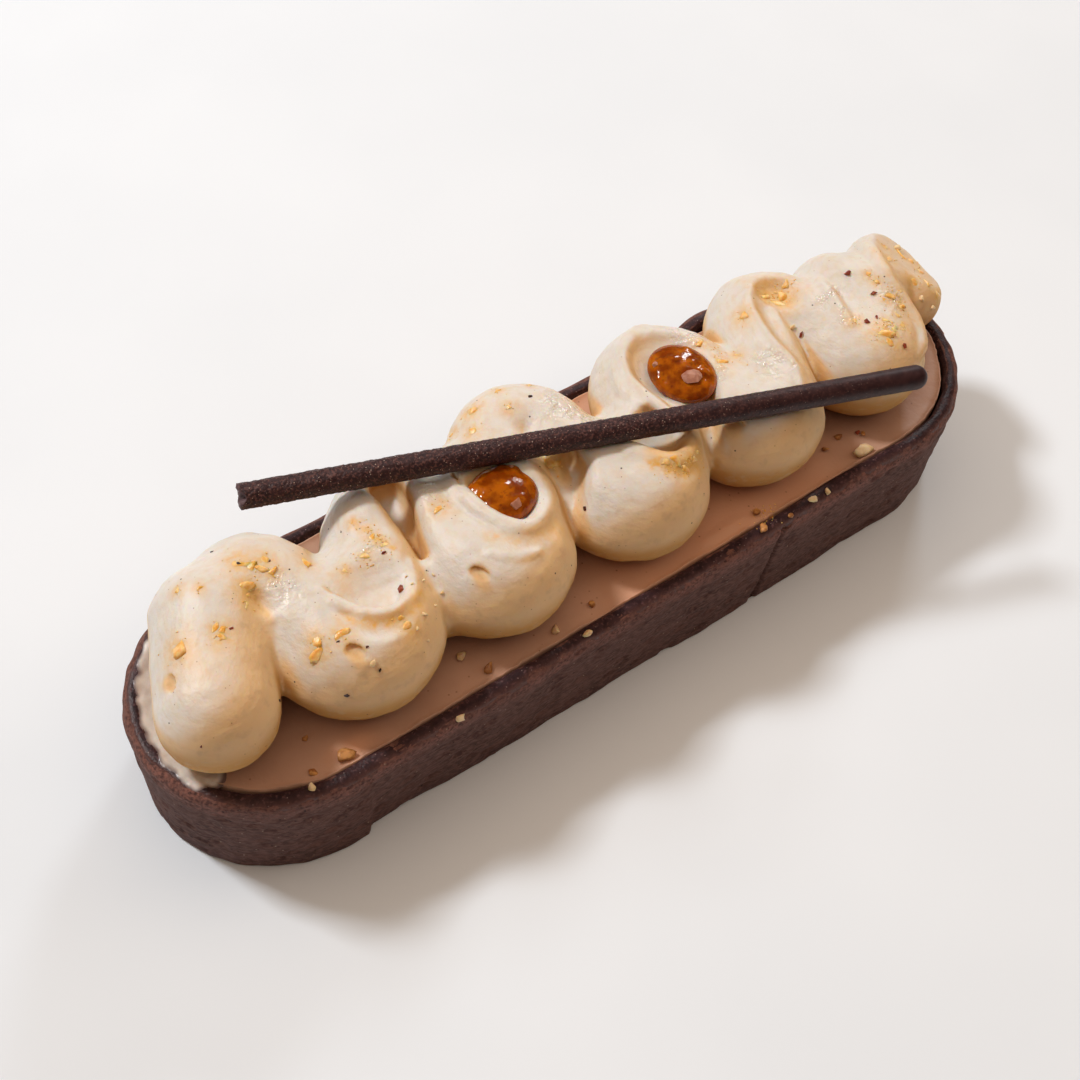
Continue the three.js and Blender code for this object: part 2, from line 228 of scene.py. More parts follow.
def make_piece(name, points, faces, material, slot, replaced=None, marks=None, flat=False):
    """A named piece of the tart from points in millimetres, riding on the tart's one body."""
    mesh = bpy.data.meshes.new(name)
    mesh.from_pydata([tuple(p) for p in np.asarray(points, float) * mm], [], faces)
    mesh.validate()
    mesh.update()
    mesh.polygons.foreach_set("use_smooth", [not flat] * len(mesh.polygons))
    for mark, values in (marks or {}).items():
        spots = mesh.attributes.new(mark, "FLOAT", "POINT").data
        spots.foreach_set("value", np.asarray(values, np.float32))
    mesh.materials.append(material)
    piece = bpy.data.objects.new(name, mesh)
    bpy.context.scene.collection.objects.link(piece)
    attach(piece, "root")
    if replaced:
        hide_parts(replaced)
    return piece


def start_material(name, **sockets):
    """A new material with its plain numbers on the shader's own sockets, and its nodes."""
    material = bpy.data.materials.new(name)
    material.use_nodes = True
    shader = material.node_tree.nodes["Principled BSDF"]
    for socket, value in sockets.items():
        shader.inputs[socket.replace("_", " ")].default_value = value
    return material, material.node_tree


def add_node(tree, kind, values=None, **settings):
    """One node: settings are its own choices, values its sockets' numbers or what is joined to them."""
    made = tree.nodes.new("ShaderNode" + kind)
    for name, value in settings.items():
        setattr(made, name, value)
    for name, value in (values or {}).items():
        if isinstance(value, bpy.types.NodeSocket):
            tree.links.new(value, made.inputs[name])
        else:
            made.inputs[name].default_value = value
    return made


def spread(tree, size, stretch, shift):
    """Places on the piece counted in bumps of a size in millimetres, longer where stretch is over 1."""
    made = add_node(tree, "Mapping", {
        "Vector": add_node(tree, "TexCoord").outputs["Object"],
        "Scale": [1 / (size * mm * s) for s in stretch],
        "Location": (shift, shift, shift),
    })
    return made.outputs["Vector"]


def grain(tree, size, stretch=(1, 1, 1), detail=3.0, shift=0.0):
    """Cloudy noise with bumps of a size in millimetres."""
    place = spread(tree, size, stretch, shift)
    return add_node(tree, "TexNoise", {"Vector": place, "Scale": 1.0, "Detail": detail}).outputs["Fac"]


def dots(tree, spacing, reach, shift=0.0):
    """Scattered dots, 1 in a dot's middle and 0 outside; reach is its radius as a share of spacing."""
    place = spread(tree, spacing, (1, 1, 1), shift)
    cells = add_node(tree, "TexVoronoi", {"Vector": place, "Scale": 1.0})
    return ramp(tree, cells.outputs["Distance"], reach, 0.4 * reach)


def ramp(tree, value, low, high, out_low=0.0, out_high=1.0):
    """value from low to high as out_low to out_high, and flat outside."""
    made = add_node(tree, "MapRange", {
        "Value": value, "From Min": low, "From Max": high, "To Min": out_low, "To Max": out_high,
    }, interpolation_type="SMOOTHSTEP")
    return made.outputs["Result"]


def blend(tree, share, first, second):
    """Mix of two colours; share 0 gives the first."""
    made = add_node(tree, "Mix", {"Factor": share}, data_type="RGBA")
    for index, colour in ((6, first), (7, second)):
        if isinstance(colour, bpy.types.NodeSocket):
            tree.links.new(colour, made.inputs[index])
        else:
            made.inputs[index].default_value = (*colour, 1)
    return made.outputs[2]


def product(tree, first, second, operation="MULTIPLY"):
    return add_node(tree, "Math", {0: first, 1: second}, operation=operation).outputs[0]


def mark(tree, name):
    return add_node(tree, "Attribute", attribute_name=name).outputs["Fac"]


def dress(material, colour, reliefs, roughness=None):
    """Gives the shader its colour and fine relief, laid on in turn as heights and depths in millimetres."""
    tree = material.node_tree
    sockets = tree.nodes["Principled BSDF"].inputs
    tree.links.new(colour, sockets["Base Color"])
    if roughness:
        tree.links.new(roughness, sockets["Roughness"])
    for height, depth in reliefs:
        bump = add_node(tree, "Bump", {"Height": height, "Distance": depth * mm, "Strength": 1.0})
        if sockets["Normal"].links:
            tree.links.new(sockets["Normal"].links[0].from_socket, bump.inputs["Normal"])
        tree.links.new(bump.outputs["Normal"], sockets["Normal"])
    return material


def pastry_look():
    """Dark cocoa pastry: fine level grain, redder where it was rasped, with tiny bright crumbs."""
    material, tree = start_material("cocoa_pastry", Roughness=0.82, Specular_IOR_Level=0.35)
    cloudy = ramp(tree, grain(tree, 3.2, (1.6, 1.6, 0.7)), 0.35, 0.7)
    fine = ramp(tree, grain(tree, 0.5, (1.7, 1.7, 0.8), 4.0, 5.0), 0.38, 0.66)
    colour = blend(tree, fine, blend(tree, cloudy, DARK_DOUGH, BROWN_DOUGH), PALE_DOUGH)
    powdery = ramp(tree, grain(tree, 0.42, detail=4.0, shift=9.0), 0.36, 0.64)
    patchy = ramp(tree, grain(tree, 9.0, detail=2.0, shift=2.0), 0.42, 0.60, 0.6, 1.0)
    rasped = product(tree, product(tree, mark(tree, "rasped"), powdery), patchy)
    colour = blend(tree, rasped, colour, RASPED_DOUGH)
    colour = blend(tree, product(tree, dots(tree, 1.5, 0.10, 3.0), 0.7), colour, PALE_CRUMB)
    colour = blend(tree, product(tree, dots(tree, 1.3, 0.17, 8.0), 0.75), colour, DARK_PORE)
    return dress(material, colour, [(grain(tree, 0.34, (1.6, 1.6, 0.8), 4.0), 0.22),
                                    (grain(tree, 0.15, detail=2.0, shift=2.0), 0.06)])


def shell_rings():
    """Rings of the shell from the underside's edge up the outside, over the rim and down inside."""
    columns = outline_columns(COLUMN_STEP, SEAM["x"])
    wall_top = SHELL_HEIGHT - SHOULDER_HIGH
    profile = [*UNDERSIDE]
    profile += [(0.0, z, 1, 0) for z in np.linspace(WALL_FROM, wall_top, round(wall_top / ROW_STEP))]
    for turn in np.linspace(0, math.pi / 2, SHOULDER_STEPS)[1:]:
        out, up = math.cos(turn), math.sin(turn)
        profile.append((SHOULDER_DEEP * (1 - out), wall_top + SHOULDER_HIGH * up, out, up))
    profile += [(inset, SHELL_HEIGHT, 0, 1) for inset in RIM_FLAT]
    profile += [(SHELL_WALL, z, -1, 0) for z in INNER_HEIGHTS]
    level = np.array(PASTRY_LEVEL)
    rings, rasped = [], []
    for inset, z, out, up in profile:
        ring, outward = level_ring(columns, inset, z)
        ring += uneven_shell(ring)
        outside = inset < SHELL_WALL
        if up > GRAINY_UP and outside:
            direction = np.column_stack([out * outward, np.full(len(ring), up)])
            worn = WORN_RIM if up > WORN_UP else 1.0
            ring += direction * (worn * relief(ring / level, PASTRY_LUMPS))[:, None]
            hole = smooth_step(pits(ring, PIT_SPACING * level, 3.0), *PIT_REACH)
            ring -= direction * (PASTRY_PIT * worn * hole)[:, None]
            if out > GROOVED_OUT:
                seam_x = SEAM["x"] + SEAM["lean"] * (z - SHELL_HEIGHT / 2)
                flare = SEAM["flare"] * smooth_step(z, SEAM["flare_below"], 0)
                wide = SEAM["half"] * (1 + flare * (ring[:, 0] < seam_x))
                groove = np.exp(-(((ring[:, 0] - seam_x) / wide) ** 2)) * (ring[:, 1] < 0)
                ring[:, 1] += SEAM["depth"] * out * groove
        if up > CHIPPED_UP and outside:
            chip = np.exp(-(((ring[:, 0] - SEAM_CHIP["x"]) / SEAM_CHIP["half"]) ** 2)) * (ring[:, 1] < 0)
            ring[:, 2] -= SEAM_CHIP["depth"] * chip * (1 + 0.5 * lumps(ring, SEAM_CHIP["grain"]))
        rings.append(ring)
        rasped.append(np.full(len(ring), smooth_step(z, RASPED_FROM, RASPED_TO) if out > 0 else 0.0))
    return rings, np.concatenate(rasped)


rings, rasped = shell_rings()
shell_points, shell_faces = lathe_mesh(rings, closed=False, caps=True)
make_piece("shell", shell_points, shell_faces, pastry_look(), "pastry", "pastry_shell", {"rasped": rasped})


# Chocolate lining: a thin brushed coat of dark chocolate that keeps the pastry crisp. It covers the
# inside and laps over the rim, set hard, dark purplish brown with a dull gloss and fine sugar bloom.
LINING_REACH = 1.35
LINING_NEAR = 0.5
NEAR_SIDE = (-8, -15)
LINING_OUTERMOST = 0.15
LINING_THICK = 0.09
LINING_WANDER = [(2.6, 0.45, 11.0), (0.9, 0.28, 4.0)]
LINING_LUMPS = [(2.2, 0.07, 5.0), (0.8, 0.03, 9.0)]
LINING_FOOT = 15.0
LINING_TOP_EDGE = 1.7
# How the coat thins out over the rim: share of the way in from its edge, height in thicknesses, thinness
LINING_EDGE = [(0.0, -1.1, 1.0), (0.16, 0.3, 0.75), (0.38, 0.8, 0.3), (0.7, 1.0, 0.0)]
# From the rim's top down inside and back up behind the coat: how far set in, and height
LINING_INSIDE = [
    (LINING_TOP_EDGE, SHELL_HEIGHT + 0.8 * LINING_THICK), (1.95, SHELL_HEIGHT + 0.1 * LINING_THICK),
    (2.16, SHELL_HEIGHT - 0.18), (2.27, SHELL_HEIGHT - 0.5), (2.3, LINING_FOOT), (2.0, LINING_FOOT),
    (1.8, SHELL_HEIGHT - 0.6),
]
COAT_DARK = (0.022, 0.009, 0.012)
COAT_BROWN = (0.046, 0.020, 0.024)
COAT_DUSTY = (0.105, 0.050, 0.055)
COAT_SUGAR = (0.40, 0.30, 0.28)
COAT_THIN = (0.150, 0.066, 0.053)


def lining_look():
    """Dark chocolate, dull where it is dusty, that shows the pastry's brown where it thins out."""
    material, tree = start_material("dark_lining", Roughness=0.5, Specular_IOR_Level=0.34)
    streaks = ramp(tree, grain(tree, 1.6), 0.35, 0.7)
    dusty = ramp(tree, grain(tree, 0.45, detail=5.0, shift=4.0), 0.52, 0.70)
    colour = blend(tree, dusty, blend(tree, streaks, COAT_DARK, COAT_BROWN), COAT_DUSTY)
    colour = blend(tree, product(tree, dots(tree, 0.7, 0.14, 6.0), 0.6), colour, COAT_SUGAR)
    ragged = ramp(tree, grain(tree, 0.5, detail=4.0, shift=2.0), 0.3, 0.6, 0.55, 1.0)
    thin = product(tree, mark(tree, "thin"), ragged)
    dull = product(tree, ramp(tree, dusty, 0, 1, 0.40, 0.66), product(tree, thin, 0.8), "MAXIMUM")
    return dress(material, blend(tree, thin, colour, COAT_THIN),
                 [(grain(tree, 0.9), 0.10), (grain(tree, 0.3), 0.09)], dull)


def shoulder_height(inset):
    """Height of the shell's rounded shoulder at a place set in from the outline."""
    across = np.clip(1 - inset / SHOULDER_DEEP, 0, 1)
    return SHELL_HEIGHT - SHOULDER_HIGH * (1 - np.sqrt(1 - across**2))


def lining_rings():
    """Rings of the coat from its edge on the shoulder over the rim, down inside and back up."""
    columns = outline_columns(COLUMN_STEP)
    x, y, *_ = oblong(columns, 1.0)
    reach = SHELL_WALL - LINING_REACH - LINING_NEAR * smooth_step(y, *NEAR_SIDE)
    reach += relief(np.column_stack([x, y, 0 * x]), LINING_WANDER)
    reach = np.maximum(LINING_OUTERMOST, reach)
    profile, thin = [], []
    for share, high, thinness in LINING_EDGE:
        at = reach + share * (LINING_TOP_EDGE - reach)
        profile.append((at, shoulder_height(at) + high * LINING_THICK))
        thin.append(thinness)
    rings = []
    for inset, z in profile + LINING_INSIDE:
        ring, _ = level_ring(columns, inset, z)
        ring += uneven_shell(ring)
        ring[:, 2] += relief(ring, LINING_LUMPS)
        rings.append(ring)
    thin += [0.0] * (len(rings) - len(thin))
    return rings, np.repeat(thin, len(columns))


rings, thin = lining_rings()
lining_points, lining_faces = lathe_mesh(rings, closed=True, caps=False)
make_piece("chocolate_lining", lining_points, lining_faces, lining_look(), "chocolate",
           marks={"thin": thin})


# Filling: milk chocolate cream poured to just under the rim and set. Its skin is smooth and satin, with
# a slight swell along the near edge and a hairline gap where it drew away from the lining.
FILLING_TOP = 16.9
FILLING_FOOT = 3.1
FILLING_INSET = 2.42
# Rings on the top, as shares of the way out from the middle, closer together at the edge
FILLING_SHARES = [0.99, 0.978, 0.962, 0.94, 0.91, *np.linspace(0.87, 0, 22)]
FILLING_LUMPS = [(9.0, 0.06, 0.0), (2.6, 0.03, 4.0)]
FILLING_SWELL = {"begins": (8.0, 12.0), "ends": (18.5, 16.5), "y": -13.4, "half": 0.8, "high": 0.45}
# The filling climbs the coat a little at its edge, by an uneven height
FILLING_CLIMB = 0.55
CLIMB_REACH = 0.45
CLIMB_MEAN = 0.75
CLIMB_LUMPS = [(3.0, 0.5, 8.0)]
CLIMB_DEPTH = 0.2
# The hairline gap opens and shuts along the edge. It starts this deep under the top, is fully open at
# the next depth, and is a little wider at the very top.
FILLING_GAP = 0.26
GAP_MEAN = 0.35
GAP_LUMPS = [(5.0, 1.0, 6.0), (0.8, 0.6, 2.0)]
GAP_START = 0.7
GAP_OPEN = 0.25
GAP_WIDENING = 0.08
FILLING_STEP = 0.4
# Painted light: the top is paler, as if sunlit, over a stretch right of the middle, and in a painted sunlit
# spot near the left end
FILLING_PAINTED_LIGHT = 0.75
PAINTED_LIGHT_BEGINS = (-14, 4)
PAINTED_LIGHT_ENDS = (40, 26)
PAINTED_SUN_SPOT = {"at": (-42.6, -13.0), "reach": (3.2, 1.4), "strength": 0.9}
MILK_CHOCOLATE = (0.46, 0.275, 0.195)
LIGHT_MILK_CHOCOLATE = (0.52, 0.32, 0.23)
SUNLIT_MILK_CHOCOLATE = (0.70, 0.38, 0.235)
COCOA_SPECK = (0.17, 0.07, 0.04)


def filling_look():
    """Satin milk chocolate with faint clouds, a few cocoa specks and painted sunlight on part of its top.
    """
    material, tree = start_material("milk_chocolate_cream", Roughness=0.44, Specular_IOR_Level=0.35,
                                    Subsurface_Weight=0.12, Subsurface_Scale=0.6 * mm,
                                    Subsurface_Radius=(1.0, 0.5, 0.35))
    cloudy = ramp(tree, grain(tree, 6.0), 0.35, 0.7)
    colour = blend(tree, cloudy, MILK_CHOCOLATE, LIGHT_MILK_CHOCOLATE)
    # Painted sunlight on the top
    colour = blend(tree, mark(tree, "painted_sunlight"), colour, SUNLIT_MILK_CHOCOLATE)
    colour = blend(tree, product(tree, dots(tree, 1.6, 0.11), 0.55), colour, COCOA_SPECK)
    return dress(material, colour, [(grain(tree, 2.2), 0.10), (grain(tree, 0.5, detail=2.0), 0.03)])


def filling_rings(columns):
    """Rings of the filling from its foot up the side, over the torn edge and in to the middle."""
    x, y, *_ = oblong(columns, FILLING_INSET)
    torn = FILLING_GAP * np.maximum(0, GAP_MEAN + relief(np.column_stack([x, y, 0 * x]), GAP_LUMPS))
    side = [(0.0, FILLING_FOOT), (0.0, FILLING_TOP - GAP_START), (torn, FILLING_TOP - GAP_OPEN),
            (GAP_WIDENING + torn, FILLING_TOP)]
    rings = [level_ring(columns, FILLING_INSET + inset, z)[0] for inset, z in side]
    edge = rings[-1]
    spine = np.column_stack([np.clip(edge[:, 0], -STRAIGHT, STRAIGHT), 0 * edge[:, 0], edge[:, 2]])
    rings += [spine + share * (edge - spine) for share in FILLING_SHARES]
    swell = FILLING_SWELL
    for ring in rings[1:]:
        x, y = ring[:, 0], ring[:, 1]
        ring[:, 2] += relief(ring, FILLING_LUMPS)
        from_edge = np.linalg.norm(ring[:, :2] - edge[:, :2], axis=1)
        climb = FILLING_CLIMB * np.exp(-from_edge / CLIMB_REACH) * (CLIMB_MEAN + relief(ring, CLIMB_LUMPS))
        ring[:, 2] += np.where(ring[:, 2] > FILLING_TOP - CLIMB_DEPTH, climb, 0)
        window = smooth_step(x, *swell["begins"]) * smooth_step(x, *swell["ends"])
        ring[:, 2] += swell["high"] * window * np.exp(-(((y - swell["y"]) / swell["half"]) ** 2))
    return rings


columns = outline_columns(FILLING_STEP)
filling_points, filling_faces = lathe_mesh(filling_rings(columns), closed=False, caps=False)
filling_faces.append(list(range(len(columns)))[::-1])
# Painted sunlight: a stretch right of the middle and a spot near the left end
from_spot = (filling_points[:, :2] - PAINTED_SUN_SPOT["at"]) / PAINTED_SUN_SPOT["reach"]
painted_sunlight = FILLING_PAINTED_LIGHT * smooth_step(filling_points[:, 0], *PAINTED_LIGHT_BEGINS)
painted_sunlight *= smooth_step(filling_points[:, 0], *PAINTED_LIGHT_ENDS)
painted_sunlight = np.maximum(painted_sunlight, PAINTED_SUN_SPOT["strength"] * np.exp(-(from_spot**2).sum(1)))
make_piece("filling", filling_points, filling_faces, filling_look(), "filling", "chocolate_filling",
           {"painted_sunlight": painted_sunlight})


# Piped cream: whipped hazelnut cream pressed from a wide plain nozzle in one thick rope, laid from side
# to side. Each near turn swells into a ball, and most turns fold over into a dish with a rolled lip.
CREAM_BASE = FILLING_TOP - 0.15
CREAM_REST = FILLING_TOP + 0.3
ROPE_LIFT = 0.95
STATION_STEP = 1.7
# The rope: its beginning, its turns and its tail, as places in plan and radius, with each turn's bend
ROPE_START = [(-54.4, -3.8, 7.1), (-49.2, 6.4, 7.3)]
TURNS = [
    ("far", -43.8, 5.2, 2.8, 6.6), ("near", -35.3, -3.3, 3.7, 6.4), ("far", -24.2, 5.4, 3.6, 6.0),
    ("near", -15.8, -3.5, 3.6, 6.3), ("far", -3.8, 7.6, 3.6, 6.2), ("near", 5.1, -3.8, 3.6, 6.3),
    ("far", 17.8, 5.3, 4.1, 6.1), ("near", 25.3, -3.2, 3.6, 6.3), ("far", 36.8, 5.4, 3.4, 6.2),
    ("near", 45.3, -3.3, 2.7, 6.1),
]
ROPE_TAIL = [(51.2, 3.2, 6.4), (58.2, 6.0, 5.7), (58.8, 1.4, 4.9)]
TURN_SIGN = {"far": -1, "near": 1}
FOLDS = [
    ((-33.4, 1.6, 4.9), (-27.2, 7.2, 4.8)), ((-11.4, 2.2, 5.2), (-8.4, 8.0, 5.4)),
    ((-14.5, 3.8, 6.3), (-12.5, 7.5, 5.8)), ((43.6, 3.4, 5.9), (48.6, 6.4, 6.1)),
    ((-25.4, -1.2, 5.1), (-25.8, -4.0, 4.5)),
]
# Balls: place in plan and how far they reach; all sit at one height, flatter above than below
BALLS = [(-36.2, -3.2, 10.4), (-16.8, -3.4, 10.0), (4.1, -3.7, 10.3), (24.3, -3.2, 9.8), (44.2, -3.3, 8.5)]
BALL_LIFT = 5.9
BALL_UP = 6.5
BALL_DOWN = 7.5
# Dishes: place in plan, reach along and across, crest, depth and tilt
DISHES = [
    ((-33.0, -0.9), (5.6, 6.4), 29.5, 1.1, 0.32), ((-12.4, 0.1), (5.6, 5.6), 29.7, 2.7, 0.0),
    ((9.9, -2.4), (5.2, 4.5), 29.6, 3.0, 0.0), ((18.0, 5.2), (6.2, 7.2), 29.5, 2.7, 0.0),
]
DISH_EDGE = 1.8
DISH_BODY = 6.4
DISH_LIFT = 1.1
# Rolled lips: the line of the edge in plan, its rise over the skin, its half thickness, how deep the
# cream is tucked in beyond the edge (right of the line, or left if less than nothing), and over which
# share of the line
LIPS = [
    ([(-38.4, 0.2), (-38.2, -1.9), (-37.3, -3.8), (-35.9, -5.8), (-34.0, -7.0), (-32.1, -7.3),
      (-30.3, -6.8), (-28.7, -5.7), (-27.4, -3.8), (-26.7, -1.6)], 0.35, 0.9, 1.0, (0.15, 0.72)),
    ([(-16.9, 5.0), (-17.3, 2.6), (-17.2, 0.2), (-16.6, -2.5), (-15.6, -4.7), (-14.4, -6.1), (-12.5, -6.6),
      (-10.3, -6.1), (-8.3, -4.8), (-6.7, -2.9), (-6.2, -1.2), (-6.4, 0.6), (-7.2, 2.4), (-8.7, 3.9)],
     0.7, 1.3, 1.15, (0.3, 0.95)),
    ([(2.5, -0.9), (3.6, -2.7), (4.7, -4.9), (5.7, -6.6), (7.3, -8.0), (9.7, -8.4), (12.2, -7.4),
      (13.9, -5.4), (14.0, -3.9)], 0.6, 1.3, 1.35, (0.35, 1.0)),
    ([(20.6, 13.6), (17.8, 12.8), (15.1, 11.5), (13.4, 9.8), (12.4, 7.9), (11.8, 5.7), (11.8, 3.1),
      (12.2, 0.6), (12.8, -2.0), (13.4, -4.0)], 0.3, 0.8, 0.0, (0, 1)),
    ([(12.3, 9.9), (11.2, 8.0), (10.6, 6.0), (10.5, 3.8), (10.8, 2.0)], 0.12, 0.5, 0.0, (0, 1)),
    ([(35.5, 9.7), (34.0, 7.5), (32.6, 3.8), (32.1, 0.2), (32.3, -2.6), (31.9, -4.8), (30.2, -6.6)],
     0.45, 1.0, -1.2, (0, 1)),
    ([(56.0, 10.0), (55.3, 7.6), (53.9, 4.4), (52.7, 1.1), (52.5, -2.3), (52.3, -5.1), (50.8, -8.2),
      (48.4, -10.1)], 0.6, 1.1, 0.0, (0, 1)),
    ([(44.8, 6.4), (44.1, 3.6), (42.9, -0.2), (42.2, -2.4)], 0.4, 0.8, 0.0, (0, 1)),
    ([(-18.9, -6.3), (-17.7, -7.6), (-16.1, -8.5), (-13.8, -9.0)], -0.1, 0.4, 0.0, (0, 1)),
]
LIP_BLEND = 0.9
LIP_ENDS = 3.0
LIP_BACK = 0.8
TUCK = 2.0
TUCK_BLEND = 0.45
TUCK_FADE = 0.25
TUCK_LIFT = 0.6
TUCK_SHALLOW = 0.3
# Wells: gaps pressed straight down between runs; plan lines with half widths, floor and softness
WELLS = [
    ([(-24.6, -0.6, 0.15), (-24.0, 1.8, 0.5), (-23.4, 4.4, 1.2), (-23.0, 7.0, 1.8), (-22.9, 9.6, 2.2)],
     23.5, 2.2),
    ([(-1.8, 0.6, 1.2), (-2.1, -0.6, 1.4), (-4.9, -4.6, 0.7), (-7.4, -8.2, 0.1)], 25.6, 2.2),
    ([(19.6, 0.4, 1.0), (17.6, -3.4, 0.9), (15.6, -7.2, 0.6), (13.6, -10.6, 0.1)], 25.8, 1.6),
    ([(-15.4, 7.0, 0.1), (-15.8, 4.5, 0.2), (-15.9, 2.4, 0.1)], 28.0, 0.6),
]
# Trims: sides pressed flat, as a place on the flat, the way it faces, and the round reach of the press
TRIMS = [
    ((-32.5, 8.8, 27.0), (-0.62, 0.70, 0.34), (-34.0, 14.5, 24.0), 7.4),
    ((54.2, 3.0, 29.4), (0.54, -0.06, 0.84), (60.0, 2.0, 29.0), 9.0),
]
# Hollows: shallow round dips, as place in plan, size and depth
HOLLOWS = [((38.4, 7.6), (3.0, 3.2), 1.7), ((-44.5, 2.4), (1.0, 1.8), 0.9)]
HOLLOW_LIFT = 2.0
HOLLOW_SPREAD = 1.25
# Burst bubbles: place in plan and reach along and across
BUBBLES = [((-39.0, -9.0), (0.95, 1.6)), ((-21.2, -7.9), (0.95, 1.6)), ((18.6, -6.6), (1.35, 1.7)),
           ((-58.1, -0.7), (0.9, 1.2))]
BUBBLE_DEEP = 0.42
BUBBLE_TURN = 0.15
STICK_RADIUS = 1.6
STICK_LEFT = (-39.5, 15.9, 31.0)
STICK_RIGHT = (41.8, -14.9, 31.0)
STICK_ROOM = 0.05
CREAM_STEP = 0.354
# How softly the pieces of the form run into each other
RUN_BLEND = 0.7
SOFT_RUN_BLEND = 2.6
SWELL_BLEND = 1.6
DISH_BLEND = 0.9
HOLLOW_BLEND = 0.8
TRIM_BLEND = 0.5
STICK_BLEND = 0.5
BUBBLE_BLEND = 0.35
FAR_OFF = 9.0
# How far beyond its own size each shape is felt, and which run flows softly into the one before it
RUN_REACH = 3.2
SHORT_REACH = 0.8
SWELL_REACH = 3
WELL_REACH = 5
SOFT_RUN = 1
# A height is found by falling from above, in rounds
FALL_FROM = 34.0
FALL_ROUNDS = 40
FALL_SHARE = 0.8
# The net of quads: room round the cream, parts it is worked out in, and rounds of evening out
SKIN_ROOM = 1.2
SKIN_PARTS = 24
SKIN_ROUNDS = 3
# Painted shade: the cream's colour turns beige on the flanks that face away from the window light, and
# amber in gaps, hollows, on undersides and at amber spots of painted shade (the stick's shadow in one dish,
# two gaps, a hollow, a crease, a dull patch low on the first ball, the bubble pits). It stands in for the
# warm light that the cream lets through. Amber spots are places in plan, reach and strength
WINDOW_SIDE = (-0.34, 0.55, 0.77)
FLANK_SHADE = 0.5
FLANK_FADE = (0.80, 0.10)
GAP_SHADE = 0.8
SHELTER_FADE = (0.33, 0.95)
UNDER_SHADE = 0.9
UNDER_FADE = (0.5, -0.2)
SHELTER_REACHES = (1.0, 2.2, 4.2, 7.5)
AMBER_SHADE_SPOTS = [((9.8, -5.2), (3.8, 1.7), 0.95), ((-3.6, 1.6), (1.6, 3.4), 0.3), ((-23.6, 5.0), (1.6, 3.4), 0.4),
         ((38.4, 7.2), (2.4, 2.8), 0.4), ((-44.6, 1.9), (0.7, 1.8), 0.6), ((-54.8, -2.4), (4.6, 4.2), 0.2)]
AMBER_SHADE_SPOTS += [(place, (0.9 * along, 0.9 * across), 0.7) for place, (along, across) in BUBBLES]
# Wet-looking patches of broken bumps, as places in plan and reach
WET = [(-41.1, 2.9, 2.0), (-19.2, 5.7, 1.6), (1.8, 7.7, 2.6), (3.2, 5.0, 2.2), (23.6, 9.0, 2.4),
       (22.0, 1.0, 1.8), (28.8, -1.7, 2.4), (31.6, -3.0, 1.6), (43.4, 2.6, 2.2), (42.6, -1.0, 1.6),
       (50.5, -2.3, 1.8), (-30.2, 1.6, 1.4)]
WET_MEAN = 0.7
WET_LUMPS = [(1.5, 1.5, 8.0)]
WET_FROM = 26
MARKS_FROM = 24
CREAM_LUMPS = [(6.5, 0.16, 6.5), (2.6, 0.10, 2.6), (1.2, 0.05, 1.2), (0.7, 0.02, 0.7)]
CREAM_SHADE = (0.715, 0.675, 0.615)
CREAM_IVORY = (0.76, 0.725, 0.675)
CREAM_STREAK = (0.70, 0.58, 0.43)
# Painted shade colours: beige for flanks turned from the window, amber for gaps and undersides
PAINTED_SHADE_BEIGE = (0.76, 0.515, 0.27)
PAINTED_SHADE_AMBER = (0.56, 0.27, 0.065)
CREAM_BLOTCH = (0.60, 0.40, 0.22)
# Syrup stain colour, also used for painted amber shade under rolled lips and in a crease
SYRUP_STAIN_AND_SHADE = (0.80, 0.44, 0.09)
BROWN_SPECK = (0.30, 0.14, 0.06)
BLACK_SPECK = (0.05, 0.03, 0.03)


def leaving(one, two):
    """Angle round one turn at which the straight run that touches both leaves it for the next."""
    across, up = two[1] - one[1], two[2] - one[2]
    open_angle = math.acos((one[3] + two[3]) / math.hypot(across, up))
    return math.atan2(up, across) - TURN_SIGN[one[0]] * open_angle


def rope_places():
    """Centre line of the rope: half turns joined by the straight lines that touch both."""
    stops = [("near", *ROPE_START[-1][:2], 0), *TURNS, ("far", *ROPE_TAIL[0][:2], 0)]
    places = list(ROPE_START)
    for before, turn, after in zip(stops, stops[1:], stops[2:]):
        side, x, y, bend, radius = turn
        full = 2 * math.pi * TURN_SIGN[side]
        start = leaving(before, turn) + math.pi
        sweep = (leaving(turn, after) - start) % full
        steps = max(3, round(abs(sweep) * bend / STATION_STEP))
        for angle in start + np.linspace(0, sweep, steps + 1):
            places.append((x + bend * math.cos(angle), y + bend * math.sin(angle), radius))
    return places + ROPE_TAIL


def resting(place):
    x, y, radius = place
    return np.array((x, y, CREAM_REST + ROPE_LIFT * radius)), radius


def to_run(points, start, stop, radius, end_radius):
    """Distance from points to a round run between two places, negative inside."""
    along = stop - start
    share = np.clip((points - start) @ along / (along @ along), 0, 1)
    away = np.linalg.norm(points - start - share[:, None] * along, axis=1)
    return away - radius - share * (end_radius - radius)


def to_egg(points, middle, sizes, tilt=0.0, turn=0.0):
    """Distance from points to an egg shape, negative inside; a tilt lifts its far side."""
    local = points - np.array(middle)
    if tilt:
        c, s = math.cos(tilt), math.sin(tilt)
        local = local @ np.array(((1, 0, 0), (0, c, -s), (0, s, c)))
    if turn:
        c, s = math.cos(turn), math.sin(turn)
        local = local @ np.array(((c, -s, 0), (s, c, 0), (0, 0, 1)))
    one = np.linalg.norm(local / sizes, axis=1)
    two = np.linalg.norm(local / np.square(sizes), axis=1)
    return one * (one - 1) / np.maximum(two, 1e-6)


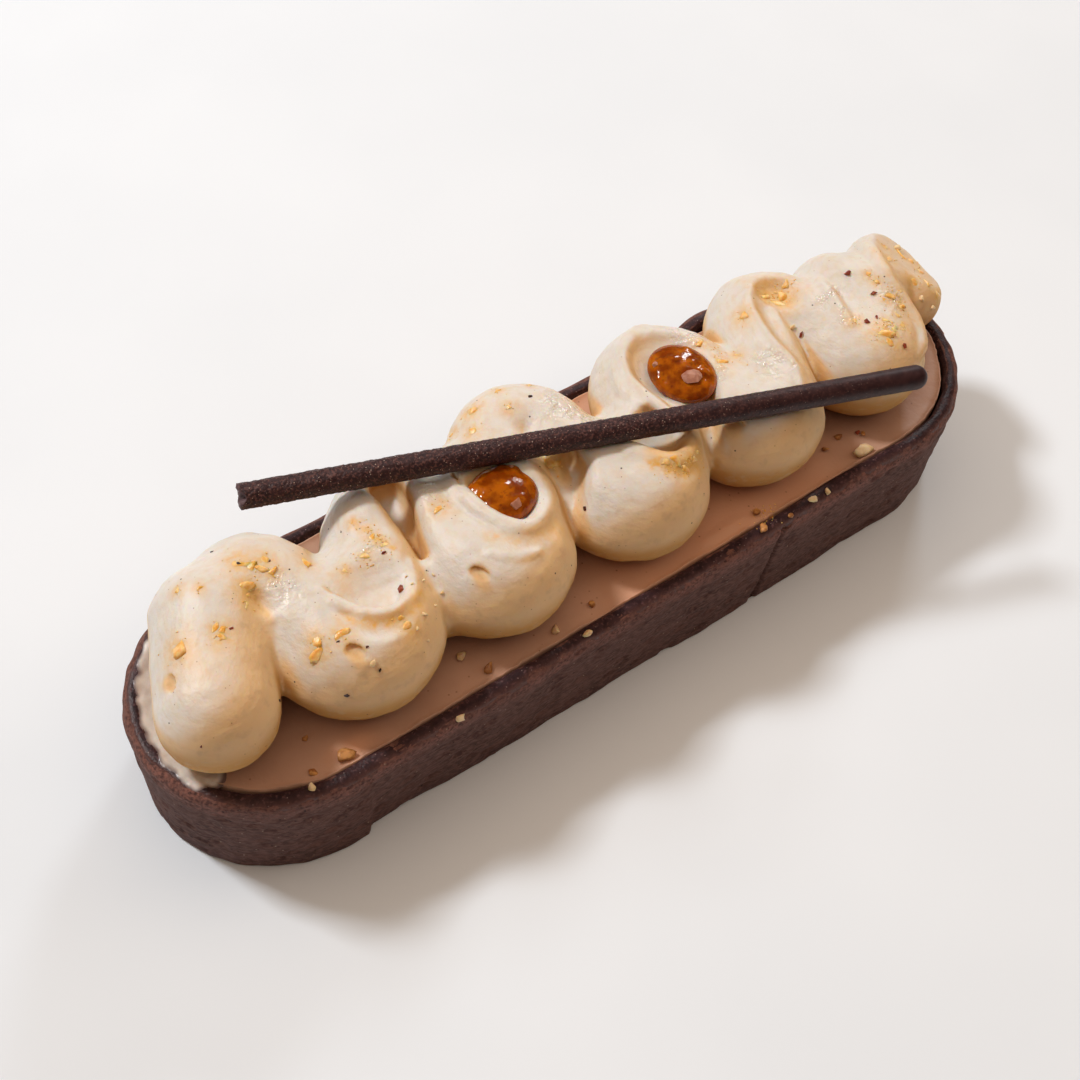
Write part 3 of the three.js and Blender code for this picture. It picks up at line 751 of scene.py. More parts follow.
def join(first, second, soft):
    """Union of two distances, with the crease between them filled over a width."""
    share = np.clip(0.5 + 0.5 * (second - first) / soft, 0, 1)
    return second + (first - second) * share - soft * share * (1 - share)


def cut(body, tool, soft):
    return -join(-body, tool, soft)


def through(line, step=0.9):
    """A smooth curve through the places of a line."""
    line = np.array(line)
    ends = np.vstack([2 * line[0] - line[1], line, 2 * line[-1] - line[-2]])
    curve = []
    for a, b, c, d in zip(ends, ends[1:], ends[2:], ends[3:]):
        stops = max(2, round(np.linalg.norm(c - b) / step))
        for t in np.linspace(0, 1, stops + 1)[:-1]:
            bent = (2 * a - 5 * b + 4 * c - d) * t**2 + (3 * b - a - 3 * c + d) * t**3
            curve.append(0.5 * (2 * b + (c - a) * t + bent))
    return np.array(curve + [line[-1]])


def shape_in(body, points, low, high, reach, shape, soft, combine):
    """The body with a shape joined to it or cut out of it, worked out only within reach of a box."""
    width = len(low)
    close = np.all((points[:, :width] > low - reach) & (points[:, :width] < high + reach), axis=1)
    if close.any():
        body[close] = combine(body[close], shape(points[close]), soft)
    return body


def run_in(body, points, spots, radii, soft, combine, reach=None):
    """The body with a round run along spots joined to it or cut out of it."""
    def shape(local):
        stretches = zip(spots, spots[1:], radii, radii[1:])
        return np.min([to_run(local, *stretch) for stretch in stretches], axis=0)

    reach = reach or max(radii) + soft + SHORT_REACH
    return shape_in(body, points, spots.min(0), spots.max(0), reach, shape, soft, combine)


def tapered(spots, thick, ends=2.6, least=0.35):
    """Half thickness along a curve, drawn out thin towards both ends."""
    run = np.concatenate([[0], np.cumsum(np.linalg.norm(np.diff(spots, axis=0), axis=1))])
    return thick * (least + (1 - least) * smooth_step(np.minimum(run, run[-1] - run), 0, ends))


def rope_strands():
    """The rope's places as rows that each run one way across the tart."""
    places = [resting(place) for place in rope_places()]
    strands, going = [], 0
    for one, two in zip(places, places[1:]):
        now = 1 if two[0][1] > one[0][1] else -1
        if now != going:
            strands.append([one])
            going = now
        strands[-1].append(two)
    return [(np.array([spot for spot, _ in s]), [radius for _, radius in s]) for s in strands]


strands = rope_strands()


def cream_body(points):
    """Distance to the cream's runs, folds and balls, before anything is pressed into them."""
    body = np.full(len(points), FAR_OFF)
    for number, (spots, radii) in enumerate(strands):
        soft = SOFT_RUN_BLEND if number == SOFT_RUN else RUN_BLEND
        body = run_in(body, points, spots, radii, soft, join, max(radii[:-1]) + RUN_REACH)
    for start, stop in FOLDS:
        (a, ra), (b, rb) = resting(start), resting(stop)
        body = run_in(body, points, np.array((a, b)), (ra, rb), SWELL_BLEND, join)
    for x, y, across in BALLS:
        middle = np.array((x, y, FILLING_TOP + BALL_LIFT))

        def ball(local):
            high, deep = (to_egg(local, middle, (across, across, tall)) for tall in (BALL_UP, BALL_DOWN))
            return np.where(local[:, 2] > middle[2], high, deep)

        body = shape_in(body, points, middle, middle, across + SWELL_REACH, ball, SWELL_BLEND, join)
    for (x, y), (along, across), crest, *_ in DISHES:
        middle = np.array((x, y, crest - DISH_BODY))
        sizes = (along + DISH_EDGE, across + DISH_EDGE, DISH_BODY)
        body = shape_in(body, points, middle, middle, sizes[0] + SWELL_REACH,
                        lambda local: to_egg(local, middle, sizes), SWELL_BLEND, join)
    return body


def skin_height(distance, plan):
    """Height of a skin over places in plan, found by falling on to it."""
    spots = np.column_stack([plan, np.full(len(plan), FALL_FROM)])
    for _ in range(FALL_ROUNDS):
        spots[:, 2] -= FALL_SHARE * np.clip(distance(spots), -1, 3)
    return spots[:, 2]


def lip_runs():
    """Every lip's round run and the cove tucked in beyond its edge, set on the body's skin."""
    runs = []
    for line, rise, thick, tuck, (start, stop) in LIPS:
        edge = through(np.column_stack([line, np.zeros(len(line))]))
        edge[:, 2] = skin_height(cream_body, edge[:, :2]) + tapered(edge, rise, LIP_ENDS, 0.0)
        radii = tapered(edge, thick)
        ahead = np.gradient(edge[:, :2], axis=0)
        ahead /= np.linalg.norm(ahead, axis=1)[:, None]
        outward = np.sign(tuck) * np.column_stack([ahead[:, 1], -ahead[:, 0], 0 * ahead[:, 0]])
        spots = edge - LIP_BACK * radii[:, None] * outward - np.outer(radii, (0, 0, 1))
        share = np.linspace(0, 1, len(edge))
        depth = abs(tuck) * smooth_step(share, start, start + TUCK_FADE)
        depth *= smooth_step(share, stop, stop - TUCK_FADE)
        chord = np.sqrt(TUCK**2 - (TUCK - depth) ** 2)
        under = edge + chord[:, None] * outward
        under[:, 2] += TUCK - depth + TUCK_LIFT * smooth_step(depth, TUCK_SHALLOW, 0.0)
        runs.append((spots, radii, under, tuck))
    return runs


def pressed_down(points, line, floor, soft):
    """Distance to an upright-sided gap that follows a plan line and stops at a floor."""
    flat = points * (1, 1, 0)
    spots, radii = np.array(line) * (1, 1, 0), np.array(line)[:, 2]
    stretches = zip(spots, spots[1:], radii, radii[1:])
    gap = np.min([to_run(flat, *stretch) for stretch in stretches], axis=0)
    return cut(gap, points[:, 2] - floor, soft)


def cream_distance(points):
    """Distance from points to the finished cream's skin, negative inside."""
    body = cream_body(points)
    for (x, y), (along, across), crest, deep, tilt in DISHES:
        sizes = (along, across, deep + DISH_LIFT)
        body = cut(body, to_egg(points, (x, y, crest + DISH_LIFT), sizes, tilt), DISH_BLEND)
    for line, floor, soft in WELLS:
        plan = np.array(line)[:, :2]
        body = shape_in(body, points, plan.min(0), plan.max(0), WELL_REACH,
                        lambda local: pressed_down(local, line, floor, soft), soft, cut)
    for place, way, centre, reach in TRIMS:
        beyond = -(points - place) @ (np.array(way) / np.linalg.norm(way))
        body = cut(body, np.maximum(beyond, np.linalg.norm(points - centre, axis=1) - reach), TRIM_BLEND)
    for middle, sizes in hollows:
        body = cut(body, to_egg(points, middle, sizes), HOLLOW_BLEND)
    for spots, radii, under, tuck in lips:
        body = run_in(body, points, spots, radii, LIP_BLEND, join)
        if tuck:
            body = run_in(body, points, under, [TUCK] * len(under), TUCK_BLEND, cut)
    for middle, sizes in bubbles:
        body = cut(body, to_egg(points, middle, sizes, 0.0, BUBBLE_TURN), BUBBLE_BLEND)
    stick = np.array((STICK_LEFT, STICK_RIGHT))
    body = run_in(body, points, stick, (STICK_RADIUS + STICK_ROOM,) * 2, STICK_BLEND, cut)
    return np.maximum(body, CREAM_BASE - points[:, 2])


lips = lip_runs()
heights = skin_height(cream_body, np.array([place for place, *_ in HOLLOWS + BUBBLES]))
hollows = [((*place, height + HOLLOW_LIFT), (*(HOLLOW_SPREAD * np.array(size)), deep + HOLLOW_LIFT))
           for (place, size, deep), height in zip(HOLLOWS, heights)]
bubbles = [((*place, height), (*size, BUBBLE_DEEP))
           for (place, size), height in zip(BUBBLES, heights[len(HOLLOWS):])]


def skin(distance, low, high, step):
    """Even net of quads wrapped round a distance's zero, its points then drawn on to it exactly."""
    counts = [int((b - a) / step) + 2 for a, b in zip(low, high)]
    axes = [a + step * np.arange(n) for a, n in zip(low, counts)]
    grid = np.stack(np.meshgrid(*axes, indexing="ij"), -1).reshape(-1, 3)
    field = np.concatenate([distance(part) for part in np.array_split(grid, SKIN_PARTS)]).reshape(counts)
    inside = field < 0
    cells = tuple(n - 1 for n in counts)

    def corner(values, i, j, k):
        return values[i:i + cells[0], j:j + cells[1], k:k + cells[2]]

    corners = [(i, j, k) for i in (0, 1) for j in (0, 1) for k in (0, 1)]
    filled = sum(corner(inside, *c).astype(np.int8) for c in corners)
    mixed = (filled > 0) & (filled < 8)
    number = np.full(cells, -1)
    number[mixed] = np.arange(mixed.sum())
    at = np.argwhere(mixed)
    total = np.zeros((len(at), 3))
    hits = np.zeros(len(at))
    for c in corners:
        for axis in range(3):
            if c[axis]:
                continue
            d = [*c]
            d[axis] = 1
            one, two = corner(field, *c)[mixed], corner(field, *d)[mixed]
            crossed = (one < 0) != (two < 0)
            share = one / np.where(crossed, one - two, 1)
            spot = np.tile(np.array(c, float), (len(at), 1))
            spot[:, axis] = share
            total += spot * crossed[:, None]
            hits += crossed
    points = np.array(low) + step * (at + total / hits[:, None])
    faces = []
    for axis in range(3):
        b, c = (axis + 1) % 3, (axis + 2) % 3
        first = np.take(inside, range(counts[axis] - 1), axis)
        second = np.take(inside, range(1, counts[axis]), axis)
        edges = np.argwhere(first != second)
        edges = edges[(edges[:, (b, c)] > 0).all(1) & (edges[:, (b, c)] < (cells[b], cells[c])).all(1)]
        outward = first[tuple(edges.T)]
        around = []
        for db, dc in ((1, 1), (0, 1), (0, 0), (1, 0)):
            cell = edges.copy()
            cell[:, b] -= db
            cell[:, c] -= dc
            around.append(number[tuple(cell.T)])
        quads = np.stack(around, 1)
        quads[~outward] = quads[~outward][:, ::-1]
        faces.append(quads)
    faces = np.concatenate(faces)
    for _ in range(SKIN_ROUNDS):
        middle = points[faces].mean(1)
        gathered = np.zeros_like(points)
        share = np.zeros(len(points))
        for k in range(4):
            np.add.at(gathered, faces[:, k], middle)
            np.add.at(share, faces[:, k], 1)
        points = drawn_to(distance, gathered / share[:, None])
    return points, faces


def drawn_to(distance, points, nudge=0.05, least=0.2):
    """Points moved along the distance's slope on to its zero."""
    here = distance(points)
    slope = np.stack([(distance(points + way) - here) / nudge for way in nudge * np.eye(3)], 1)
    return points - slope * (here / np.maximum((slope**2).sum(1), least))[:, None]


def shelter(points, normals):
    """How closely each place is hemmed in by cream and filling: 0 in the open, 1 deep in a gap."""
    closed = np.zeros(len(points))
    for reach in SHELTER_REACHES:
        ahead = points + reach * normals
        free = np.minimum(cream_distance(ahead), ahead[:, 2] - FILLING_TOP)
        closed += np.clip(1 - free / reach, 0, 1) / len(SHELTER_REACHES)
    return closed


def cream_look():
    """Ivory cream with fine nut specks, satin, letting a little light through; stained near crumbs; painted
    beige and amber shade.
    """
    material, tree = start_material("hazelnut_cream", Specular_IOR_Level=0.5, Subsurface_Weight=0.5,
                                    Subsurface_Scale=1.4 * mm, Subsurface_Radius=(1.0, 0.5, 0.2))
    colour = blend(tree, ramp(tree, grain(tree, 7.0), 0.35, 0.7), CREAM_SHADE, CREAM_IVORY)
    streaks = ramp(tree, grain(tree, 0.7, (2.2, 2.2, 0.6), shift=6.0), 0.42, 0.75)
    colour = blend(tree, product(tree, streaks, 0.5), colour, CREAM_STREAK)
    # Painted shade: beige up to the middle of the mark, amber beyond it
    painted_shade = mark(tree, "painted_shade")
    beige_shade = ramp(tree, painted_shade, 0, 0.5)
    colour = blend(tree, beige_shade, colour, PAINTED_SHADE_BEIGE)
    colour = blend(tree, ramp(tree, painted_shade, 0.5, 1.0), colour, PAINTED_SHADE_AMBER)
    # Random blotches, stronger where the painted beige shade lies
    blotches = ramp(tree, grain(tree, 1.3, detail=5.0, shift=13.0), 0.50, 0.75, 0.0, 0.55)
    blotches = product(tree, blotches, product(tree, beige_shade, 0.25, "MAXIMUM"))
    colour = blend(tree, blotches, colour, CREAM_BLOTCH)
    uneven = ramp(tree, grain(tree, 0.8, shift=9.0), 0.35, 0.62, 0.5, 1.0)
    # Syrup stains, and painted amber shade under lips and in a crease carried by the same mark
    colour = blend(tree, product(tree, mark(tree, "stain_and_shade"), uneven), colour, SYRUP_STAIN_AND_SHADE)
    colour = blend(tree, product(tree, dots(tree, 1.3, 0.085), 0.7), colour, BROWN_SPECK)
    colour = blend(tree, dots(tree, 2.6, 0.06, 4.0), colour, BLACK_SPECK)
    wet = mark(tree, "wet")
    dull = product(tree, ramp(tree, painted_shade, 0.2, 0.9, 0.46, 0.75), ramp(tree, wet, 0, 0.7, 1.0, 0.25))
    broken = ramp(tree, grain(tree, 0.8, detail=2.0, shift=4.0), 0.3, 0.7, -0.5, 0.5)
    return dress(material, colour, [
        (grain(tree, 2.4, detail=2.0), 0.08), (grain(tree, 0.9, (2.0, 2.0, 0.6), shift=8.0), 0.09),
        (grain(tree, 0.4, (1, 1, 0.7), shift=2.0), 0.05), (product(tree, broken, wet), 0.22),
    ], dull)


def facing(distance, points, nudge=0.12):
    """Which way a skin faces at its points."""
    slope = np.stack([distance(points + way) - distance(points - way) for way in nudge * np.eye(3)], 1)
    return slope / np.linalg.norm(slope, axis=1)[:, None]


def near_line(points, line):
    """How far points lie in plan from a line of places."""
    best = np.full(len(points), np.inf)
    for a, b in zip(line, line[1:] or line):
        along, from_a = np.array(b) - a, points[:, :2] - a
        share = np.clip(from_a @ along / max(along @ along, 1e-9), 0, 1)
        best = np.minimum(best, np.linalg.norm(from_a - share[:, None] * along, axis=1))
    return best


cream_low, cream_high = (np.array(corner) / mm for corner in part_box("piped_cream"))
cream_points, cream_faces = skin(cream_distance, cream_low - SKIN_ROOM, cream_high + SKIN_ROOM,
                                 CREAM_STEP)
cream_facing = facing(cream_distance, cream_points)
# Painted shade: beige on flanks turned from the window, amber in sheltered gaps, on undersides and at the
# amber spots
shaded_flank = FLANK_SHADE * smooth_step(cream_facing @ WINDOW_SIDE, *FLANK_FADE)
gap = GAP_SHADE * smooth_step(shelter(cream_points, cream_facing), *SHELTER_FADE)
gap = np.maximum(gap, UNDER_SHADE * smooth_step(cream_facing[:, 2], *UNDER_FADE))
for (x, y), (along, across), strength in AMBER_SHADE_SPOTS:
    away = np.hypot((cream_points[:, 0] - x) / along, (cream_points[:, 1] - y) / across)
    gap = np.maximum(gap, strength * np.exp(-away**2) * (cream_points[:, 2] > MARKS_FROM))
painted_shade = shaded_flank + (1 - shaded_flank) * gap
wet = np.zeros(len(cream_points))
for x, y, reach in WET:
    wet = np.maximum(wet, np.exp(-(near_line(cream_points, [(x, y)]) / reach) ** 2))
wet *= (cream_points[:, 2] > WET_FROM) * np.clip(WET_MEAN + relief(cream_points, WET_LUMPS), 0, 1)
cream_points += cream_facing * relief(cream_points, CREAM_LUMPS)[:, None]
cream = make_piece("cream", cream_points, cream_faces.tolist(), cream_look(), "cream", "piped_cream",
                   {"stain_and_shade": np.zeros(len(cream_points)), "painted_shade": painted_shade, "wet": wet})


# Cream smear: where the rope was begun, a thin film of cream was wiped over the filling and the rim
# round the tart's left end. It is one thin sheet that dies out at its edge.
SMEAR_LINE = [(-54.6, 10.2), (-57.4, 6.8), (-59.0, 2.6), (-59.3, -1.6), (-59.0, -4.6), (-58.4, -6.4)]
SMEAR_REACH = 2.5
SMEAR_THICK = 0.22
SMEAR_STEP = 0.22
SMEAR_LUMPS = [(2.0, 0.11, 3.0), (0.8, 0.0264, 7.0)]
SMEAR_MARGIN = 1
SMEAR_CUT = -0.1
SMEAR_SEE_THROUGH = 0.1
SMEAR_ROUNDS = 10
DROP_FROM = 60
SMEAR_GREY = (0.62, 0.56, 0.51)
SMEAR_IVORY = (0.78, 0.74, 0.69)
SMEAR_THIN = (0.17, 0.115, 0.115)


def smear_look():
    """The same cream, wet and cloudy, darker where it is wiped so thin that the rim shows through."""
    material, tree = start_material("wiped_cream", Roughness=0.3, Specular_IOR_Level=0.5,
                                    Subsurface_Weight=0.5, Subsurface_Scale=0.6 * mm,
                                    Subsurface_Radius=(1.0, 0.6, 0.4))
    colour = blend(tree, ramp(tree, grain(tree, 2.2, detail=4.0), 0.35, 0.68), SMEAR_GREY, SMEAR_IVORY)
    colour = blend(tree, mark(tree, "thin"), colour, SMEAR_THIN)
    return dress(material, colour, [(grain(tree, 0.9), 0.08)])


def tree_of(*names):
    """Pieces made so far, as one surface that things can be dropped on."""
    points, faces = [], []
    for piece in (bpy.data.objects[name] for name in names):
        start = len(points)
        points += [v.co for v in piece.data.vertices]
        faces += [[start + i for i in polygon.vertices] for polygon in piece.data.polygons]
    return BVHTree.FromPolygons(points, faces)


def smear_sheet():
    """The film laid over what is below it, with the steps between rim and filling filled."""
    below = tree_of("shell", "chocolate_lining", "filling")
    line = np.array(SMEAR_LINE)
    low, high = line.min(0) - SMEAR_REACH - SMEAR_MARGIN, line.max(0) + SMEAR_REACH + SMEAR_MARGIN
    across, along = np.arange(low[0], high[0], SMEAR_STEP), np.arange(low[1], high[1], SMEAR_STEP)
    spots = np.stack(np.meshgrid(across, along, indexing="ij"), -1).reshape(-1, 2)
    spots = np.column_stack([spots, np.zeros(len(spots))])
    height = SMEAR_THICK * (1 - (near_line(spots, SMEAR_LINE) / SMEAR_REACH) ** 2)
    height += relief(spots, SMEAR_LUMPS)
    for k in np.flatnonzero(height > -SMEAR_MARGIN):
        spot, *_ = below.ray_cast(Vector((*spots[k, :2], DROP_FROM)) * mm, Vector((0, 0, -1)))
        spots[k, 2] = spot.z / mm if spot else 0
    grid = np.arange(len(spots)).reshape(len(across), len(along))
    ground = spots[:, 2].reshape(grid.shape)
    laid = ground.copy()
    for _ in range(SMEAR_ROUNDS):
        around = np.pad(laid, 1, mode="edge")
        around = (around[:-2, 1:-1] + around[2:, 1:-1] + around[1:-1, :-2] + around[1:-1, 2:]) / 4
        laid = np.maximum(ground, around)
    spots[:, 2] = laid.ravel() + height
    quads = np.stack([grid[:-1, :-1], grid[1:, :-1], grid[1:, 1:], grid[:-1, 1:]], -1).reshape(-1, 4)
    quads = quads[(height[quads] > SMEAR_CUT).all(1)]
    used, quads = np.unique(quads, return_inverse=True)
    return spots[used], quads.reshape(-1, 4).tolist(), smooth_step(height[used], SMEAR_SEE_THROUGH, 0.0)


smear_points, smear_faces, thin = smear_sheet()
make_piece("cream_smear", smear_points, smear_faces, smear_look(), "cream", marks={"thin": thin})


# Caramel: two spoonfuls of soft amber caramel with chopped hazelnut, set in the dishes of two turns.
# The skin is glossy and lumpy, and chips of nut stand proud of each.
CARAMELS = [
    {"at": (-12.1, 0.5, 28.5), "wide": (4.3, 4.1), "seed": 3, "node": "caramel_front",
     "chips": [(-12.2, -2.2, 2.1), (-9.4, 2.7, 0.8)]},
    {"at": (18.5, 3.6, 28.45), "wide": (4.2, 5.0), "seed": 8, "node": "caramel_back",
     "chips": [(18.3, 1.7, 3.3), (15.9, 6.0, 1.2)]},
]
CARAMEL_THICK = 1.7
CARAMEL_STEP = 0.17
CARAMEL_LUMPS = 11
CARAMEL_ROOM = (0.5, 0.5, 0.8)
LUMP_SIZES = (0.5, 1.3)
LUMP_BLEND = 0.45
LUMPS_OUT_TO = 0.82
LUMP_SINK = 0.66
LUMP_FLATNESS = 0.75
CHIP_SHAPE = (1.0, 0.85, 0.6)
CHIP_CORNERS = 16
CHIP_SINK = 0.08
CHIP_SEED = 20
CARAMEL_DARK = (0.22, 0.040, 0.001)
CARAMEL_AMBER = (0.47, 0.125, 0.003)
CARAMEL_BITS = (0.12, 0.022, 0.005)
NUT_BROWN = (0.38, 0.155, 0.10)
NUT_PINK = (0.52, 0.25, 0.17)


def caramel_look():
    """Glossy amber caramel that light goes through, cloudy with darker bits."""
    material, tree = start_material("hazelnut_caramel", Roughness=0.14, Specular_IOR_Level=0.5, IOR=1.48,
                                    Subsurface_Weight=0.7, Subsurface_Scale=1.2 * mm,
                                    Subsurface_Radius=(1.0, 0.32, 0.06))
    colour = blend(tree, ramp(tree, grain(tree, 1.7), 0.35, 0.68), CARAMEL_DARK, CARAMEL_AMBER)
    bits = ramp(tree, grain(tree, 0.8, detail=2.0, shift=7.0), 0.58, 0.68)
    colour = blend(tree, product(tree, bits, 0.45), colour, CARAMEL_BITS)
    return dress(material, colour, [(grain(tree, 0.8, detail=2.0), 0.06)])


def nut_look():
    material, tree = start_material("hazelnut_chip", Roughness=0.3, Specular_IOR_Level=0.5, Coat_Weight=0.5,
                                    Coat_Roughness=0.15)
    colour = blend(tree, ramp(tree, grain(tree, 0.7), 0.35, 0.65), NUT_BROWN, NUT_PINK)
    return dress(material, colour, [(grain(tree, 0.25, detail=2.0), 0.02)])


def chunk(random, size, corners=11):
    """One broken piece: the hull of a few random corners, as points and faces round the origin."""
    spots = random.normal(size=(corners, 3))
    spots *= (0.5 * random.uniform(0.8, 1.0, (corners, 1)) / np.linalg.norm(spots, axis=1)[:, None])
    mesh = bmesh.new()
    for spot in spots * np.array(size):
        mesh.verts.new(spot)
    bmesh.ops.convex_hull(mesh, input=mesh.verts)
    bmesh.ops.delete(mesh, geom=[v for v in mesh.verts if not v.link_faces], context="VERTS")
    mesh.verts.index_update()
    points = np.array([v.co[:] for v in mesh.verts])
    faces = [[v.index for v in face.verts] for face in mesh.faces]
    mesh.free()
    return points, faces


def caramel_field(at, wide, seed):
    """Distance to one spoonful: a low dome with lumps of nut standing out of its top."""
    random = np.random.default_rng(seed)
    turn = random.uniform(0, 2 * math.pi, CARAMEL_LUMPS)
    out = LUMPS_OUT_TO * np.sqrt(random.uniform(0, 1, CARAMEL_LUMPS))
    sizes = random.uniform(*LUMP_SIZES, CARAMEL_LUMPS)

    def distance(points):
        body = to_egg(points, at, (*wide, CARAMEL_THICK))
        for a, r, size in zip(turn, out, sizes):
            top = at[2] + CARAMEL_THICK * math.sqrt(1 - r * r)
            x, y = at[0] + wide[0] * r * math.cos(a), at[1] + wide[1] * r * math.sin(a)
            lump = to_egg(points, (x, y, top - LUMP_SINK * size), (size, size, LUMP_FLATNESS * size))
            body = join(body, lump, LUMP_BLEND)
        return body

    return distance


def as_one(parts):
    """Many small meshes as one."""
    all_points, all_faces = [], []
    for points, faces in parts:
        all_faces += [[len(all_points) + i for i in face] for face in faces]
        all_points += points.tolist()
    return np.array(all_points), all_faces


caramel_material, nut_material = caramel_look(), nut_look()
for drop in CARAMELS:
    at, wide = np.array(drop["at"]), drop["wide"]
    field = caramel_field(at, wide, drop["seed"])
    reach = np.array((*wide, CARAMEL_THICK)) + CARAMEL_ROOM
    points, faces = skin(field, at - reach, at + reach, CARAMEL_STEP)
    node = drop["node"]
    make_piece(node + "_drop", points, faces.tolist(), caramel_material, "caramel", node)
    random = np.random.default_rng(drop["seed"] + CHIP_SEED)
    chips = []
    for x, y, across in drop["chips"]:
        top = skin_height(field, np.array([(x, y)]))[0]
        points, faces = chunk(random, across * np.array(CHIP_SHAPE), CHIP_CORNERS)
        chips.append((points + (x, y, top - CHIP_SINK * across), faces))
    make_piece(node + "_nut", *as_one(chips), nut_material, "caramel", flat=True)


# Chocolate stick: a thin round stick of dark chocolate laid slantwise across the cream. Sandy cocoa
# bloom covers the left part; the right end is smooth and round, and the left end is snapped off.
STICK_STEP = 0.22
STICK_ROUND = 52
STICK_LUMPS = [(0.62, 0.068, 0.0), (0.34, 0.0765, 4.0)]
STICK_SMOOTH = 0.25
ROUND_END_STEPS = 9
STICK_TIP = (0.995, 0.12)
# The break: how ragged and slanting its edge is, how far that reaches, and the relief of its face
SNAP_LUMPS = [(1.4, 0.9, 6.0)]
SNAP_SLANT = 0.35
SLANT_TURN = 0.6
SNAP_REACH = 1.2
SNAP_RINGS = (0.4, 0.7)
SNAP_FACE = [(0.8, 0.55, 2.0)]
# The bloom fades out in two steps: share of it, and from where to where along the stick
BLOOM_STEPS = [(0.3, 0.99, 0.85), (0.7, 0.85, 0.50)]
STICK_DARK = (0.026, 0.0085, 0.009)
STICK_BROWN = (0.044, 0.0155, 0.0150)
STICK_SANDY = (0.120, 0.048, 0.040)
STICK_SUGAR = (0.70, 0.52, 0.42)
STICK_BREAK = (0.13, 0.075, 0.08)


def stick_look():
    """Dark chocolate with sandy cocoa bloom and bright sugar grains where the bloom is."""
    material, tree = start_material("dark_chocolate", Specular_IOR_Level=0.38)
    bloom = mark(tree, "bloom")
    colour = blend(tree, ramp(tree, grain(tree, 1.2, detail=4.0), 0.35, 0.68), STICK_DARK, STICK_BROWN)
    sandy = product(tree, ramp(tree, grain(tree, 0.30, shift=5.0), 0.48, 0.66), bloom)
    colour = blend(tree, sandy, colour, STICK_SANDY)
    patchy = ramp(tree, grain(tree, 1.1, detail=2.0, shift=3.0), 0.36, 0.52)
    sugar = product(tree, product(tree, dots(tree, 0.42, 0.17), bloom), patchy)
    colour = blend(tree, sugar, colour, STICK_SUGAR)
    colour = blend(tree, mark(tree, "snapped"), colour, STICK_BREAK)
    sand = product(tree, grain(tree, 0.3), bloom)
    dull = ramp(tree, bloom, 0, 1, 0.5, 0.52)
    return dress(material, colour, [(sand, 0.16), (grain(tree, 0.9, detail=2.0), 0.04)], dull)


def stick_mesh():
    """The stick from its snapped left end to its round right end, with its bloom and its break marked."""
    left, right = np.array(STICK_LEFT), np.array(STICK_RIGHT)
    length = np.linalg.norm(right - left)
    along = (right - left) / length
    side = np.cross(along, (0, 0, 1))
    side /= np.linalg.norm(side)
    angles = np.linspace(0, 2 * math.pi, STICK_ROUND, endpoint=False)
    around = np.outer(np.cos(angles), side) + np.outer(np.sin(angles), np.cross(side, along))
    ragged = relief(STICK_RADIUS * around, SNAP_LUMPS) + SNAP_SLANT * np.cos(angles - SLANT_TURN)
    ragged = np.maximum(0, ragged)
    stops = [(s, 1.0) for s in np.arange(0, length, STICK_STEP)]
    for a in np.linspace(0, math.pi / 2, ROUND_END_STEPS)[:-1]:
        stops.append((length + STICK_RADIUS * math.sin(a), math.cos(a)))
    stops.append((length + STICK_RADIUS * STICK_TIP[0], STICK_TIP[1]))
    rings, bloom = [], []
    for share in SNAP_RINGS:
        inner = left + STICK_RADIUS * share * around + np.outer(ragged, along)
        rings.append(inner + along * relief(inner, SNAP_FACE)[:, None])
        bloom.append(0.0)
    snapped = [1.0] * (len(rings) + 1)
    for s, wide in stops:
        ring = left + along * s + STICK_RADIUS * wide * around
        ring += np.outer(ragged * max(0, 1 - s / SNAP_REACH), along)
        here = sum(share * smooth_step(s / length, start, stop) for share, start, stop in BLOOM_STEPS)
        rough = STICK_SMOOTH + (1 - STICK_SMOOTH) * here
        rings.append(ring + around * (rough * relief(ring, STICK_LUMPS))[:, None])
        bloom.append(here)
    snapped += [0.0] * (len(rings) - len(snapped))
    marks = {"bloom": np.repeat(bloom, STICK_ROUND), "snapped": np.repeat(snapped, STICK_ROUND)}
    return *lathe_mesh(rings, closed=False, caps=True), marks


stick_points, stick_faces, stick_marks = stick_mesh()
make_piece("stick", stick_points, stick_faces, stick_look(), "chocolate", "chocolate_stick", stick_marks)


